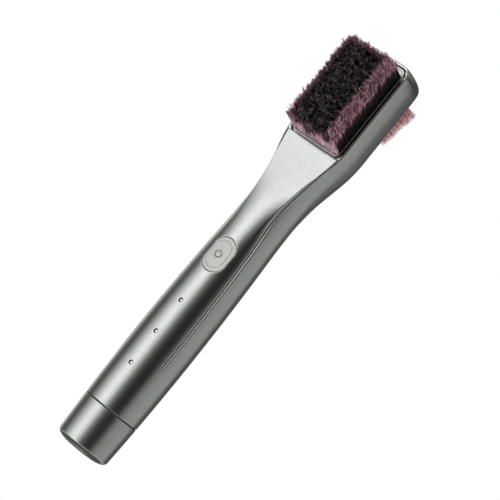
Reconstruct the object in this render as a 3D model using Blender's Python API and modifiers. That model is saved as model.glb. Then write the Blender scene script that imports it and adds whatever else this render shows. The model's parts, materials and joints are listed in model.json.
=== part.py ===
"""Hand-held electric shoe brush with a bristle block on the front of its head and a smaller one on the back.

Frame of the construction: x runs along the handle from the flat bottom of the end cap to the end of the head, y is
across, z points out of the front face.  All driving sizes are in millimetres.  The whole assembly hangs on one root
empty, which tilts it by a few degrees so that it lies on the cap's edge and on the tips of the rear bristles.
"""
import math

import bmesh
import bpy
from mathutils import Matrix, Vector

MM = 0.001

# ---------------------------------------------------------------- driving sizes (mm)
LENGTH = 261.1          # flat bottom of the cap to the end of the head
R_MAX = 17.5            # largest half-width of the barrel-shaped handle
R_MAX_X = 70.0          # where the handle is widest
BARREL = 3.3e-4         # half-width lost per mm squared away from there
FLAT = 0.92             # front-to-back size of the handle over its width
SPLIT_Z = 10.2          # plane where the front cover meets the rear casing
SEAM_X = 25.85          # joint between the end cap and the handle
GAP = 0.3               # clearance between neighbouring pieces
WALL = 1.8              # wall of the shells

HEAD_HALF = 19.3        # half-width of the head
HEAD_TOP = 10.9         # front face of the head
HEAD_BACK = 13.2        # back of the head, below the axis
HEAD_CORNER = 5.9       # plan radius of the head's far corners
HEAD_BACK_ROUND = 4.6   # rounding of the far end towards the back
BELLY = 1.8             # how far the head's walls lean out below its front edge
BELLY_Z = -1.7          # level where they are widest
BELLY_CORNER = 1.4      # how much of that is lost round the far corners
END_BELLY = 0.6         # the same lean on the far end
BELLY_X0, BELLY_X1 = 155.5, 212.0
NECK_HALF = 15.6        # narrowest half-width of the neck
FLARE_X0, FLARE_X1 = 171.0, 206.0
FACE_X0, FACE_X1 = 148.0, 196.0   # where the domed front runs out into the flat face

RECESS_X0, RECESS_X1 = 199.7, 259.5
RECESS_HALF = 17.9
RECESS_R = 3.6
RECESS_FLOOR = 8.7

REAR_X0, REAR_X1 = 223.4, 256.4   # pocket in the back of the head
REAR_HALF = 15.0
REAR_FLOOR = -11.0
COVER_END = RECESS_X0             # the cover's domed part stops at the near edge of the front recess
PLATE_LOW = 7.3                   # underside of the cover's set-in plate
PLAY = 1.0                        # sideways travel of the brushes, each way

BUTTON_X = 123.5
LED_X = (51.9, 72.4, 92.7)
CELL_Z = -2.2           # axis of the battery cell
SHAFT_Z = -1.3          # axis of motor, drive shaft and rocker
ROCKER_X = 228.0
ROCKER_R = 6.2          # ball pins from the shaft axis
FLOOR_Z = -9.7          # inside of the head's back

TILT = math.radians(3.24)
ROOT_SHIFT = (-130.577, 0.0, 14.521)

# ---------------------------------------------------------------- scene start
for ob in list(bpy.data.objects):
    bpy.data.objects.remove(ob, do_unlink=True)

PARTS = bpy.data.collections.new("electric_shoe_brush")
CUTTERS = bpy.data.collections.new("cutters")
bpy.context.scene.collection.children.link(PARTS)
bpy.context.scene.collection.children.link(CUTTERS)

ROOT = bpy.data.objects.new("brush_root", None)
PARTS.objects.link(ROOT)
ROOT.location = [c * MM for c in ROOT_SHIFT]
ROOT.rotation_euler = (0.0, -TILT, 0.0)

MATERIALS = {}


def material(name, colour, roughness, metallic=0.0):
    m = bpy.data.materials.new(name)
    m.use_nodes = True
    p = m.node_tree.nodes["Principled BSDF"]
    p.inputs["Base Color"].default_value = (*colour, 1.0)
    p.inputs["Roughness"].default_value = roughness
    p.inputs["Metallic"].default_value = metallic
    m.diffuse_color = (*colour, 1.0)
    MATERIALS[name] = m
    return m


def link(ob, mat, parent=None, collection=None):
    (collection or PARTS).objects.link(ob)
    ob.parent = parent or ROOT
    if mat is not None:
        ob.data.materials.append(mat)
    return ob


def as_cutter(ob):
    ob.hide_render = True
    ob.display_type = "WIRE"
    return ob


def object_from(bm, name, mat, origin=(0.0, 0.0, 0.0), collection=None, parent=None, smooth=True):
    """Mesh coordinates are given in the construction frame; the object's origin goes to `origin`."""
    o = Vector(origin) * MM
    bmesh.ops.recalc_face_normals(bm, faces=bm.faces)
    bmesh.ops.translate(bm, verts=bm.verts, vec=-o)
    me = bpy.data.meshes.new(name)
    bm.to_mesh(me)
    bm.free()
    ob = bpy.data.objects.new(name, me)
    ob.location = o
    link(ob, mat, parent, collection)
    if smooth:
        me.shade_smooth()
        me.set_sharp_from_angle(angle=math.radians(35))
    return ob


# ---------------------------------------------------------------- simple solids
def bm_box(bm, x0, x1, y0, y1, z0, z1):
    m = Matrix.Translation(Vector(((x0 + x1) / 2, (y0 + y1) / 2, (z0 + z1) / 2)) * MM) @ Matrix.Diagonal(
        ((x1 - x0) * MM, (y1 - y0) * MM, (z1 - z0) * MM, 1.0))
    return bmesh.ops.create_cube(bm, size=1.0, matrix=m)


def axis_matrix(axis):
    if axis == "X":
        return Matrix.Rotation(math.pi / 2, 4, "Y")
    if axis == "Y":
        return Matrix.Rotation(-math.pi / 2, 4, "X")
    return Matrix.Identity(4)


def bm_cylinder(bm, centre, radius, length, axis="Z", segments=24, radius2=None):
    m = Matrix.Translation(Vector(centre) * MM) @ axis_matrix(axis)
    return bmesh.ops.create_cone(bm, cap_ends=True, segments=segments, radius1=radius * MM,
                                 radius2=(radius if radius2 is None else radius2) * MM, depth=length * MM, matrix=m)


def box(name, mat, x0, x1, y0, y1, z0, z1, bevel=0.0, **kw):
    bm = bmesh.new()
    bm_box(bm, x0, x1, y0, y1, z0, z1)
    if bevel:
        bmesh.ops.bevel(bm, geom=list(bm.edges), offset=bevel * MM, segments=1, affect="EDGES", profile=0.5)
    return object_from(bm, name, mat, **kw)


def cylinder(name, mat, centre, radius, length, axis="Z", segments=24, **kw):
    bm = bmesh.new()
    bm_cylinder(bm, centre, radius, length, axis, segments)
    return object_from(bm, name, mat, **kw)


def plate_outline(x0, x1, half, corner, n=6):
    """Rounded rectangle in plan, anticlockwise."""
    pts = []
    for cx, cy, a0 in ((x1 - corner, half - corner, 0.0), (x0 + corner, half - corner, 90.0),
                       (x0 + corner, -half + corner, 180.0), (x1 - corner, -half + corner, 270.0)):
        for k in range(n + 1):
            a = math.radians(a0 + 90.0 * k / n)
            pts.append((cx + corner * math.cos(a), cy + corner * math.sin(a)))
    return pts


def prism(name, mat, outline, z0, z1, **kw):
    """Flat outline raised between two heights."""
    bm = bmesh.new()
    low = [bm.verts.new((x * MM, y * MM, z0 * MM)) for x, y in outline]
    face = bm.faces.new(low)
    up = bmesh.ops.extrude_face_region(bm, geom=[face])
    bmesh.ops.translate(bm, verts=[g for g in up["geom"] if isinstance(g, bmesh.types.BMVert)],
                        vec=(0, 0, (z1 - z0) * MM))
    return object_from(bm, name, mat, **kw)


def turned(name, mat, profile, origin, closed=False, steps=32, squash=1.0, parent=None, collection=None, axis="X"):
    """Profile of (radius, height) points turned about an axis through `origin`; heights run along +axis."""
    me = bpy.data.meshes.new(name)
    verts = [(r * MM, 0.0, h * MM) for r, h in profile]
    edges = [(i, i + 1) for i in range(len(verts) - 1)] + ([(len(verts) - 1, 0)] if closed else [])
    me.from_pydata(verts, edges, [])
    ob = bpy.data.objects.new(name, me)
    ob.location = Vector(origin) * MM
    if axis == "X":
        ob.rotation_euler = (0.0, math.pi / 2, 0.0)
    elif axis == "Y":
        ob.rotation_euler = (-math.pi / 2, 0.0, 0.0)
    ob.scale = (squash, 1.0, 1.0)
    link(ob, mat, parent, collection)
    s = ob.modifiers.new("turn", "SCREW")
    s.axis = "Z"
    s.angle = 2 * math.pi
    s.steps = s.render_steps = steps
    s.use_merge_vertices = True
    s.merge_threshold = 0.00001
    s.use_smooth_shade = True
    return ob


def cut(ob, *tools, operation="DIFFERENCE"):
    for tool in tools:
        b = ob.modifiers.new("with_" + tool.name, "BOOLEAN")
        b.operation = operation
        b.solver = "EXACT"
        b.object = tool
    return ob


def cutter(ob):
    return as_cutter(ob)


def wire(name, mat, points, radius):
    cu = bpy.data.curves.new(name, "CURVE")
    cu.dimensions = "3D"
    cu.bevel_depth = radius * MM
    cu.bevel_resolution = 2
    cu.use_fill_caps = True
    sp = cu.splines.new("POLY")
    sp.points.add(len(points) - 1)
    for p, q in zip(sp.points, points):
        p.co = (q[0] * MM, q[1] * MM, q[2] * MM, 1.0)
    ob = bpy.data.objects.new(name, cu)
    return link(ob, mat)


def eased(points, n):
    """Points of a smooth curve through `points`."""
    out = []
    p = [points[0], *points, points[-1]]
    for i in range(1, len(p) - 2):
        for k in range(n):
            t = k / n
            out.append(tuple(0.5 * (2 * b + (c - a) * t + (2 * a - 5 * b + 4 * c - d) * t * t
                                    + (3 * b - a - 3 * c + d) * t ** 3)
                             for a, b, c, d in zip(p[i - 1], p[i], p[i + 1], p[i + 2])))
    out.append(tuple(points[-1]))
    return out


# ---------------------------------------------------------------- body of the brush: sections along x
def ease(t):
    t = min(max(t, 0.0), 1.0)
    return t * t * (3 - 2 * t)


def barrel(x):
    return R_MAX - BARREL * (x - R_MAX_X) ** 2


def end_round(x, radius):
    """How far the outline draws in near the end of the head."""
    d = x - (LENGTH - radius)
    return 0.0 if d <= 0 else radius - math.sqrt(max(radius * radius - d * d, 0.0))


def half_width(x):
    neck = NECK_HALF + 0.5 * ((barrel(x) - NECK_HALF) + math.sqrt((barrel(x) - NECK_HALF) ** 2 + 0.12))
    return neck + (HEAD_HALF - NECK_HALF) * ease((x - FLARE_X0) / (FLARE_X1 - FLARE_X0)) \
        - (neck - NECK_HALF) * ease((x - 185.0) / 20.0) - end_round(x, HEAD_CORNER)


def head_share(x):
    """0 along the handle, 1 in the head."""
    return ease((x - BELLY_X0) / (BELLY_X1 - BELLY_X0))


def belly(x):
    return BELLY * head_share(x) - BELLY_CORNER * max(0.0, (x - LENGTH + 10.0) / 10.0) ** 2


def end_lean(x, z):
    """The far end leans out below its front edge, like the walls."""
    k = max(0.0, (x - (LENGTH - 25.0)) / 25.0) ** 2 * END_BELLY
    if z > BELLY_Z:
        return k * (1 - ((z - BELLY_Z) / (SPLIT_Z - BELLY_Z)) ** 2)
    return k * (1 - ((BELLY_Z - z) / (HEAD_BACK + BELLY_Z)) ** 4)


def back_depth(x):
    w = head_share(x)
    neck = FLAT * max(half_width(min(x, 168.0)), 0.1)
    return (1 - w) * neck + w * HEAD_BACK - end_round(x, HEAD_BACK_ROUND)


def face_blend(x):
    return ease((x - FACE_X0) / (FACE_X1 - FACE_X0))


def front_height(x):
    neck = FLAT * half_width(min(x, 168.0))
    return neck + (HEAD_TOP - neck) * face_blend(x) - end_round(x, 0.6)


def split_half(x):
    """Half-width where the section crosses the split plane."""
    a = half_width(x)
    zs = FLAT * half_width(min(x, 168.0))
    oval = half_width(min(x, 168.0)) * math.sqrt(max(1 - (SPLIT_Z / zs) ** 2, 0.0))
    w = ease((x - 158.0) / (201.0 - 158.0))
    return (1 - w) * oval + w * (a - 0.05)


def back_power(x):
    return 2.0 + 2.5 * head_share(x)


def section(x, inset=0.0, top=None, back=None, power=None, n_top=14, n_side=4, n_back=9):
    """Ring of (y, z) of the body's section at x: domed or flat front, sides, rounded back."""
    a = half_width(x) + belly(x) - inset
    yc = split_half(x) - 1.25 * inset
    w = face_blend(x)
    z0 = BELLY_Z * head_share(x)
    b = (back_depth(x) - inset) if back is None else back
    n = back_power(x) if power is None else power
    f = front_height(x) - inset if top is None else top
    zc = min(SPLIT_Z, f - 0.02) if top is None else SPLIT_Z
    edge = min(0.5, f - zc)
    ring = []
    for i in range(n_top + 1):                      # front, from +y to -y
        t = math.cos(math.pi * i / n_top)
        dome = math.sqrt(max(f * f - (f * f - zc * zc) * t * t, 0.0))
        e = edge / max(yc, 1e-6)
        u = (abs(t) - (1 - e)) / e
        flat = f if u <= 0 else zc + (f - zc) * math.sqrt(max(1 - u * u, 0.0))
        if top is not None:
            flat = dome = f
        ring.append((yc * t, (1 - w) * dome + w * flat))
    side = []
    for i in range(1, n_side + 1):                  # from the split plane down to the widest level
        s = 1 - i / n_side
        side.append((math.sqrt(max(a * a - (a * a - yc * yc) * s * s, 0.0)), z0 + (zc - z0) * s))
    low = []
    for i in range(1, n_back):                      # rounded back
        u = math.pi / 2 * i / n_back
        low.append((a * math.cos(u) ** (2 / n), z0 - (b + z0) * math.sin(u) ** (2 / n)))
    ring += [(-y, z) for y, z in side] + [(-y, z) for y, z in low] + [(0.0, -b)]
    ring += [(y, z) for y, z in reversed(low)] + [(y, z) for y, z in reversed(side)]
    return ring


def loft(name, mat, stations, ring_at, lean=lambda x, z: 0.0, **kw):
    """Closed body through one ring of points at each station."""
    bm = bmesh.new()
    rings = [[bm.verts.new(((x + lean(x, z)) * MM, y * MM, z * MM)) for y, z in ring_at(x)] for x in stations]
    for a, b in zip(rings[:-1], rings[1:]):
        for i in range(len(a)):
            j = (i + 1) % len(a)
            bm.faces.new((a[i], a[j], b[j], b[i]))
    bm.faces.new(rings[0])
    bm.faces.new(rings[-1])
    return object_from(bm, name, mat, **kw)


def stations(x0, x1, end_radius=None, coarse=12.0, fine=5.0):
    xs, x = [], x0
    stop = x1 - (end_radius or 0.0)
    while x < stop - 0.6 * fine:
        xs.append(x)
        x += fine if 150.0 <= x <= 212.0 else coarse
    xs.append(stop)
    if end_radius:
        xs += [stop + end_radius * math.sin(math.radians(a)) for a in (25, 45, 62, 76, 90)]
    return xs


# ---------------------------------------------------------------- materials
paint = material("satin_paint", (0.33, 0.34, 0.33), 0.34, 0.85)
paint_cap = material("cap_paint", (0.31, 0.32, 0.31), 0.34, 0.85)
silicone = material("button_silicone", (0.55, 0.54, 0.50), 0.55)
silicone_key = material("key_silicone", (0.58, 0.57, 0.53), 0.50)
lens = material("light_window", (0.75, 0.78, 0.78), 0.15)
plate_grey = material("brush_plate", (0.62, 0.63, 0.63), 0.35)
black_hair = material("front_hair", (0.03, 0.02, 0.025), 0.70)
pink_hair = material("rear_hair", (0.42, 0.20, 0.23), 0.70)
chassis_black = material("chassis_plastic", (0.04, 0.04, 0.045), 0.50)
rubber = material("seal_rubber", (0.02, 0.02, 0.02), 0.75)
steel = material("bright_steel", (0.62, 0.62, 0.63), 0.25, 1.0)
brass = material("contact_brass", (0.72, 0.55, 0.28), 0.35, 1.0)
board = material("circuit_board", (0.03, 0.16, 0.08), 0.45)
chip = material("chip_black", (0.03, 0.03, 0.03), 0.50)
cell_wrap = material("cell_wrap", (0.10, 0.25, 0.42), 0.40)
white_part = material("white_plastic", (0.80, 0.80, 0.78), 0.45)
acetal = material("natural_acetal", (0.85, 0.84, 0.80), 0.40)
red_lead = material("red_lead", (0.55, 0.03, 0.03), 0.50)
black_lead = material("black_lead", (0.02, 0.02, 0.02), 0.50)

# ---------------------------------------------------------------- shells
xs_outer = stations(SEAM_X + 0.15, LENGTH, HEAD_CORNER)


def cavity_ring(x):
    w = ease((x - 176.0) / 20.0)
    depth = (1 - w) * (back_depth(x) - WALL) - w * FLOOR_Z
    return section(x, inset=WALL, top=11.6, back=depth, power=back_power(x) * (1 - w) + 16.0 * w,
                   n_top=6, n_side=3, n_back=7)


def head_cavity_ring(x):
    """Inside of the head, under the ledge that carries the cover's plate."""
    half = 16.9 - 0.9 * ease((x - 252.0) / 7.0)
    return [(half, 7.0), (-half, 7.0), (-half, FLOOR_Z + 0.8), (-half + 0.8, FLOOR_Z), (half - 0.8, FLOOR_Z),
            (half, FLOOR_Z + 0.8)]


cavity = as_cutter(loft("cavity_cutter", None, stations(SEAM_X - 4.0, 200.1, None, coarse=18.0, fine=8.0),
                        cavity_ring, collection=CUTTERS))
head_cavity = as_cutter(loft("head_cavity_cutter", None, [198.0, 215.0, 252.0, 256.0, 259.2], head_cavity_ring,
                             collection=CUTTERS))
above = as_cutter(box("above_split_cutter", None, 0, COVER_END + 0.15, -30, 30, SPLIT_Z - GAP / 2, 40,
                      collection=CUTTERS))
recess = as_cutter(prism("recess_cutter", None, plate_outline(RECESS_X0, RECESS_X1, RECESS_HALF, RECESS_R), 6.9, 14.0,
                         collection=CUTTERS))
rear_pocket = as_cutter(prism("rear_pocket_cutter", None, plate_outline(REAR_X0, REAR_X1, REAR_HALF, 4.0), -20.0,
                              REAR_FLOOR, collection=CUTTERS))

POSTS = (216.0, 240.0)            # posts of the front carrier
REAR_POSTS = (236.0, 248.0)       # posts of the rear carrier
POST_R = 2.5


def slot(name, x, z0, z1):
    return as_cutter(prism(name, None, [(x + a, y) for a, y in
                                        ((-3.1, -3.4), (-2.2, -4.3), (2.2, -4.3), (3.1, -3.4),
                                         (3.1, 3.4), (2.2, 4.3), (-2.2, 4.3), (-3.1, 3.4))],
                           z0, z1, collection=CUTTERS))


front_slots = [slot("front_slot_cutter_%d" % k, x, 6.0, 10.0) for k, x in enumerate(POSTS)]
rear_slots = [slot("rear_slot_cutter_%d" % k, x, -12.2, -8.2) for k, x in enumerate(REAR_POSTS)]

rear_casing = loft("rear_casing", paint, xs_outer, section, lean=end_lean)
cut(rear_casing, above, cavity, head_cavity, recess, rear_pocket, *rear_slots)


def dome_ring(x):
    """Hollow under the domed part of the cover."""
    f = front_height(x) - WALL
    yc = split_half(x) - 2.6
    ring = []
    for i in range(11):
        t = math.cos(math.pi * i / 10)
        z = math.sqrt(max(f * f - (f * f - (SPLIT_Z - 0.6) ** 2) * t * t, 0.0))
        ring.append((yc * t, max(z, SPLIT_Z - 0.5)))
    return ring + [(-yc, 4.0), (yc, 4.0)]


dome = as_cutter(loft("dome_cutter", None, [20.0, 40.0, 60.0, 80.0, 100.0, 120.0, 140.0, 152.0, 162.0, 172.0],
                      dome_ring, collection=CUTTERS))
below = as_cutter(box("below_split_cutter", None, 0, 300, -30, 30, -40, SPLIT_Z + GAP / 2, collection=CUTTERS))
beyond = as_cutter(box("beyond_cover_cutter", None, COVER_END, 300, -30, 30, -40, 40, collection=CUTTERS))


def neck_plug_outline():
    """Part of the cover that drops between the side walls of the neck."""
    right = [(x, -(split_half(x) - 1.25 * WALL - GAP - 0.05)) for x in (182.0, 186.0, 190.0, 194.0, 197.0, COVER_END)]
    return right + [(x, -y) for x, y in reversed(right)]


plug = as_cutter(prism("neck_plug", None, neck_plug_outline(), PLATE_LOW, SPLIT_Z + 0.35, collection=CUTTERS))
tongue = as_cutter(prism("tongue", None, [(192.0, -13.6), (206.0, -13.6), (206.0, 13.6), (192.0, 13.6)], PLATE_LOW,
                         RECESS_FLOOR, collection=CUTTERS))
floor_plate = as_cutter(prism("floor_plate", None,
                              plate_outline(RECESS_X0 + GAP, RECESS_X1 - GAP, RECESS_HALF - GAP, RECESS_R - GAP),
                              PLATE_LOW, RECESS_FLOOR, collection=CUTTERS))


def obround(cx, length, width, n=10):
    r = width / 2
    d = length / 2 - r
    pts = []
    for c, a0 in ((cx + d, -90.0), (cx - d, 90.0)):
        for k in range(n + 1):
            a = math.radians(a0 + 180.0 * k / n)
            pts.append((c + r * math.cos(a), r * math.sin(a)))
    return pts


KEY_LENGTH, KEY_WIDTH = 16.0, 9.7
SURROUND_LENGTH, SURROUND_WIDTH = 20.6, 13.2

button_hole = as_cutter(prism("button_hole_cutter", None, obround(BUTTON_X, SURROUND_LENGTH + 0.6, SURROUND_WIDTH + 0.6),
                              8.0, 24.0, collection=CUTTERS))
led_holes = [as_cutter(cylinder("led_hole_cutter_%d" % (k + 1), None, (x, 0, 14.0), 0.85, 12.0, segments=12,
                                collection=CUTTERS)) for k, x in enumerate(LED_X)]

front_cover = loft("front_cover", paint, xs_outer, section)
cut(front_cover, below, beyond, dome)
cut(front_cover, plug, tongue, floor_plate, operation="UNION")
cut(front_cover, button_hole, *led_holes, *front_slots)

# End cap: a cup with a flat end, a soft shoulder and the barrel's sides.
CAP_STEPS = 44


def cap_side(x):
    return barrel(x)


cap_profile = [(0.0, 2.2), (11.6, 2.2), (13.4, 3.2), (cap_side(6.0) - WALL, 6.0), (cap_side(14.0) - WALL, 14.0),
               (cap_side(SEAM_X) - WALL, SEAM_X - 0.15), (cap_side(SEAM_X), SEAM_X - 0.15),
               (cap_side(18.0), 18.0), (cap_side(10.0), 10.0), (cap_side(4.4), 4.4), (15.85, 2.9), (15.3, 1.9),
               (13.6, 0.85), (11.8, 0.22), (10.3, 0.0), (0.0, 0.0)]
end_cap = turned("end_cap", paint_cap, cap_profile, (0, 0, 0), steps=CAP_STEPS, squash=FLAT)

# ---------------------------------------------------------------- inner chassis, seal, charging socket
SPIGOT_X = 9.7


def spigot(x):
    return barrel(x) - 2.3


chassis_profile = [(0.0, SPIGOT_X + 1.8), (spigot(12.0) - 3.2, SPIGOT_X + 1.8), (spigot(12.0) - 2.6, 14.0),
                   (spigot(38.0) - 2.6, 38.0), (spigot(38.0), 38.0), (spigot(24.0), 24.0), (spigot(20.3), 20.3),
                   (spigot(20.3) - 1.5, 20.1), (spigot(18.6) - 1.5, 18.3), (spigot(18.1), 18.1),
                   (spigot(11.0), 11.0), (spigot(11.0) - 1.0, SPIGOT_X), (0.0, SPIGOT_X)]
port_hole = as_cutter(box("port_hole_cutter", None, 8.0, 13.0, -4.9, 4.9, -2.1, 2.1, collection=CUTTERS))
inner_chassis = turned("inner_chassis", chassis_black, chassis_profile, (0, 0, 0), steps=32, squash=FLAT)
cut(inner_chassis, port_hole)

ring_r = barrel(19.2) - WALL - 0.42 - 0.6
cap_seal_ring = turned("cap_seal_ring", rubber, [(ring_r + 0.55 * math.cos(math.radians(a)),
                                                  0.55 * math.sin(math.radians(a))) for a in range(0, -360, -45)],
                       (19.2, 0, 0), closed=True, steps=32, squash=FLAT)


def stadium_ring(half_w, half_h, n=5):
    pts = []
    for c, a0 in ((half_w - half_h, -90.0), (-half_w + half_h, 90.0)):
        for k in range(n + 1):
            a = math.radians(a0 + 180.0 * k / n)
            pts.append((c + half_h * math.cos(a), half_h * math.sin(a)))
    return pts


socket_hollow = as_cutter(loft("socket_hollow_cutter", None, [8.0, 15.6], lambda x: stadium_ring(4.15, 1.25),
                               collection=CUTTERS))
charge_socket = loft("charge_socket_shell", steel, [SPIGOT_X + 0.3, 16.4], lambda x: stadium_ring(4.5, 1.6))
cut(charge_socket, socket_hollow)
box("charge_socket_tongue", chassis_black, SPIGOT_X + 1.0, 15.3, -3.3, 3.3, -0.33, 0.33)
charge_board = box("charge_board", board, 16.7, 17.8, -8.0, 8.0, -7.0, 7.0, bevel=0.4)

# ---------------------------------------------------------------- battery
turned("battery_cell", cell_wrap, [(0.0, 65.6), (2.9, 65.6), (3.2, 65.2), (3.2, 64.6), (8.4, 64.6), (9.1, 63.9),
                                   (9.1, 0.5), (8.6, 0.0), (0.0, 0.0)], (41.0, 0, CELL_Z), steps=28)


def half_shell(name, mat, x0, x1, z, r_in, r_out, keep_below=0.0, segments=28):
    """Trough under a round piece whose axis is at height z."""
    hollow = as_cutter(cylinder(name + "_cutter", None, ((x0 + x1) / 2, 0, z), r_in, x1 - x0 + 4, "X",
                                segments, collection=CUTTERS))
    upper = as_cutter(box(name + "_upper_cutter", None, x0 - 2, x1 + 2, -20, 20, z - keep_below, 20,
                          collection=CUTTERS))
    ob = cylinder(name, mat, ((x0 + x1) / 2, 0, z), r_out, x1 - x0, "X", segments)
    return cut(ob, hollow, upper)


half_shell("battery_cradle", white_part, 50.0, 96.0, CELL_Z, 9.45, 10.6, 1.0)
box("battery_contact_front", brass, 107.0, 107.5, -3.6, 3.6, CELL_Z - 3.6, CELL_Z + 5.2)
box("battery_contact_back", brass, 40.1, 40.6, -4.0, 4.0, CELL_Z - 4.0, CELL_Z + 5.2)

# ---------------------------------------------------------------- boards, switch, lights
BOARD_Z0, BOARD_Z1 = 8.1, 9.3
screw_bores = [as_cutter(cylinder("board_bore_cutter_%d" % k, None, (x, 0, 9.0), 1.3, 4.0, segments=16,
                                  collection=CUTTERS)) for k, x in enumerate((47.0, 134.0))]
main_board = box("main_board", board, 44.0, 137.0, -8.6, 8.6, BOARD_Z0, BOARD_Z1)
cut(main_board, *screw_bores)
box("control_chip", chip, 104.6, 109.6, -2.5, 2.5, BOARD_Z1 + GAP, BOARD_Z1 + 1.1)
box("tact_switch", steel, BUTTON_X - 3.0, BUTTON_X + 3.0, -3.0, 3.0, BOARD_Z1 + GAP, 10.8, bevel=0.2)


def screw(name, x, z_head, z_tip):
    profile = [(0.0, 1.2), (1.5, 1.2), (1.9, 0.8), (1.9, 0.0), (0.95, 0.0), (0.95, z_tip - z_head + 0.6),
               (0.4, z_tip - z_head), (0.0, z_tip - z_head)]
    return turned(name, steel, profile, (x, 0, z_head), steps=14, axis="Z")


screw("board_screw_near", 47.0, BOARD_Z1 + GAP, 7.2)
screw("board_screw_far", 134.0, BOARD_Z1 + GAP, 7.9)

for k, x in enumerate(LED_X):
    box("charge_led_%d" % (k + 1), white_part, x - 1.6, x + 1.6, -0.8, 0.8, BOARD_Z1 + GAP, 10.5, bevel=0.15)
    cylinder("light_window_%d" % (k + 1), lens, (x, 0, (10.8 + front_height(x) - 0.1) / 2), 0.55,
             front_height(x) - 0.1 - 10.8, segments=12)


def button_skin(name, lift):
    return as_cutter(loft(name, None, [BUTTON_X - 14 + 4 * k for k in range(8)],
                          lambda x: section(x, inset=-lift, n_top=20, n_side=2, n_back=3), collection=CUTTERS))


surround_skin = button_skin("surround_skin", 0.15)
key_skin = button_skin("key_skin", 0.45)
key_hole = as_cutter(prism("key_hole_cutter", None, obround(BUTTON_X, KEY_LENGTH + 0.6, KEY_WIDTH + 0.6), 8.0, 24.0,
                           collection=CUTTERS))
surround = prism("button_surround", silicone, obround(BUTTON_X, SURROUND_LENGTH, SURROUND_WIDTH), 12.4, 20.0)
cut(surround, surround_skin, operation="INTERSECT")
cut(surround, key_hole)
power_button = prism("power_button", silicone_key, obround(BUTTON_X, KEY_LENGTH, KEY_WIDTH), 12.9, 20.0,
                     origin=(BUTTON_X, 0, 12.9))
cut(power_button, key_skin, operation="INTERSECT")
cylinder("switch_plunger", chassis_black, (BUTTON_X, 0, 12.1), 1.6, 1.0, segments=16,
         origin=(BUTTON_X, 0, 12.9))

# ---------------------------------------------------------------- motor and drive line
MOTOR_X = 113.0
turned("motor_can", steel, [(0.0, 29.6), (2.6, 29.6), (3.0, 29.2), (3.0, 28.0), (8.2, 28.0), (8.9, 27.3),
                            (8.9, 0.4), (8.5, 0.0), (0.0, 0.0)], (MOTOR_X, 0, SHAFT_Z), steps=28)
turned("motor_end_bell", white_part, [(0.0, 2.1), (8.2, 2.1), (8.2, 0.4), (7.8, 0.0), (0.0, 0.0)],
       (MOTOR_X - 2.4, 0, SHAFT_Z), steps=24)
half_shell("motor_cradle", chassis_black, 117.0, 136.0, SHAFT_Z, 9.2, 10.3, 1.0)

DRIVE = bpy.data.objects.new("drive_axis", None)
PARTS.objects.link(DRIVE)
DRIVE.parent = ROOT
DRIVE.location = Vector((ROCKER_X, 0, SHAFT_Z)) * MM


def on_drive(ob):
    """Hangs a piece of the drive line on the empty at its axis."""
    ob.location = ob.location - DRIVE.location
    ob.parent = DRIVE
    return ob


on_drive(cylinder("motor_shaft", steel, (147.0, 0, SHAFT_Z), 1.15, 8.0, "X", 14, origin=(147.0, 0, SHAFT_Z)))
on_drive(turned("shaft_coupling", acetal, [(4.0, 13.0), (4.0, 0.0), (1.5, 0.0), (1.5, 7.0), (2.35, 7.0), (2.35, 13.0)],
                (145.0, 0, SHAFT_Z), closed=True, steps=20))
on_drive(cylinder("drive_shaft", steel, (198.35, 0, SHAFT_Z), 2.0, 91.7, "X", 18, origin=(198.35, 0, SHAFT_Z)))

turned("neck_bushing", brass, [(5.0, 3.6), (5.0, 0.0), (2.3, 0.0), (2.3, 3.6)], (166.0, 0, SHAFT_Z), closed=True,
       steps=20)
bushing_bore = as_cutter(cylinder("bushing_bore_cutter", None, (167.8, 0, SHAFT_Z), 5.3, 8.0, "X", 24,
                                  collection=CUTTERS))
neck_bulkhead = cylinder("neck_bulkhead", chassis_black, (167.8, 0, SHAFT_Z), 9.4, 3.2, "X", 28)
cut(neck_bulkhead, bushing_bore)
turned("shaft_seal", rubber, [(6.2, 2.4), (6.2, 0.0), (2.3, 0.0), (2.3, 0.8), (3.4, 2.4)], (170.1, 0, SHAFT_Z),
       closed=True, steps=20)

# Rocker: hub on the drive shaft, one ball pin towards the front carrier and one towards the rear carrier.
rocker = cylinder("rocker", acetal, (ROCKER_X, 0, SHAFT_Z), 3.9, 8.0, "X", 20, origin=(ROCKER_X, 0, SHAFT_Z))
on_drive(rocker)
arm = as_cutter(box("rocker_arm_tool", None, ROCKER_X - 1.4, ROCKER_X + 1.4, -1.2, 1.2, SHAFT_Z - ROCKER_R,
                    SHAFT_Z + ROCKER_R, collection=CUTTERS))
cut(rocker, arm, operation="UNION")
for k, side in enumerate((1, -1)):
    bm = bmesh.new()
    bmesh.ops.create_uvsphere(bm, u_segments=14, v_segments=8, radius=1.3 * MM,
                              matrix=Matrix.Translation(Vector((ROCKER_X, 0, SHAFT_Z + side * ROCKER_R)) * MM))
    ball = as_cutter(object_from(bm, "rocker_ball_tool_%d" % k, None, collection=CUTTERS))
    cut(rocker, ball, operation="UNION")
cut(rocker, as_cutter(cylinder("rocker_bore_cutter", None, (ROCKER_X, 0, SHAFT_Z), 2.3, 12.0, "X", 20,
                               collection=CUTTERS)))

for name, x in (("near", 213.0), ("far", 241.0)):
    turned("shaft_bearing_" + name, steel, [(3.7, 3.6), (3.7, 0.0), (2.3, 0.0), (2.3, 3.6)], (x - 1.8, 0, SHAFT_Z),
           closed=True, steps=20)
    bore = as_cutter(cylinder("bearing_bore_cutter_" + name, None, (x, 0, SHAFT_Z), 4.0, 8.0, "X", 24,
                              collection=CUTTERS))
    bridge = box("bearing_bridge_" + name, chassis_black, x - 1.8, x + 1.8, -14.0, 14.0, SHAFT_Z - 4.6, SHAFT_Z + 4.7)
    cut(bridge, bore)

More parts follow.
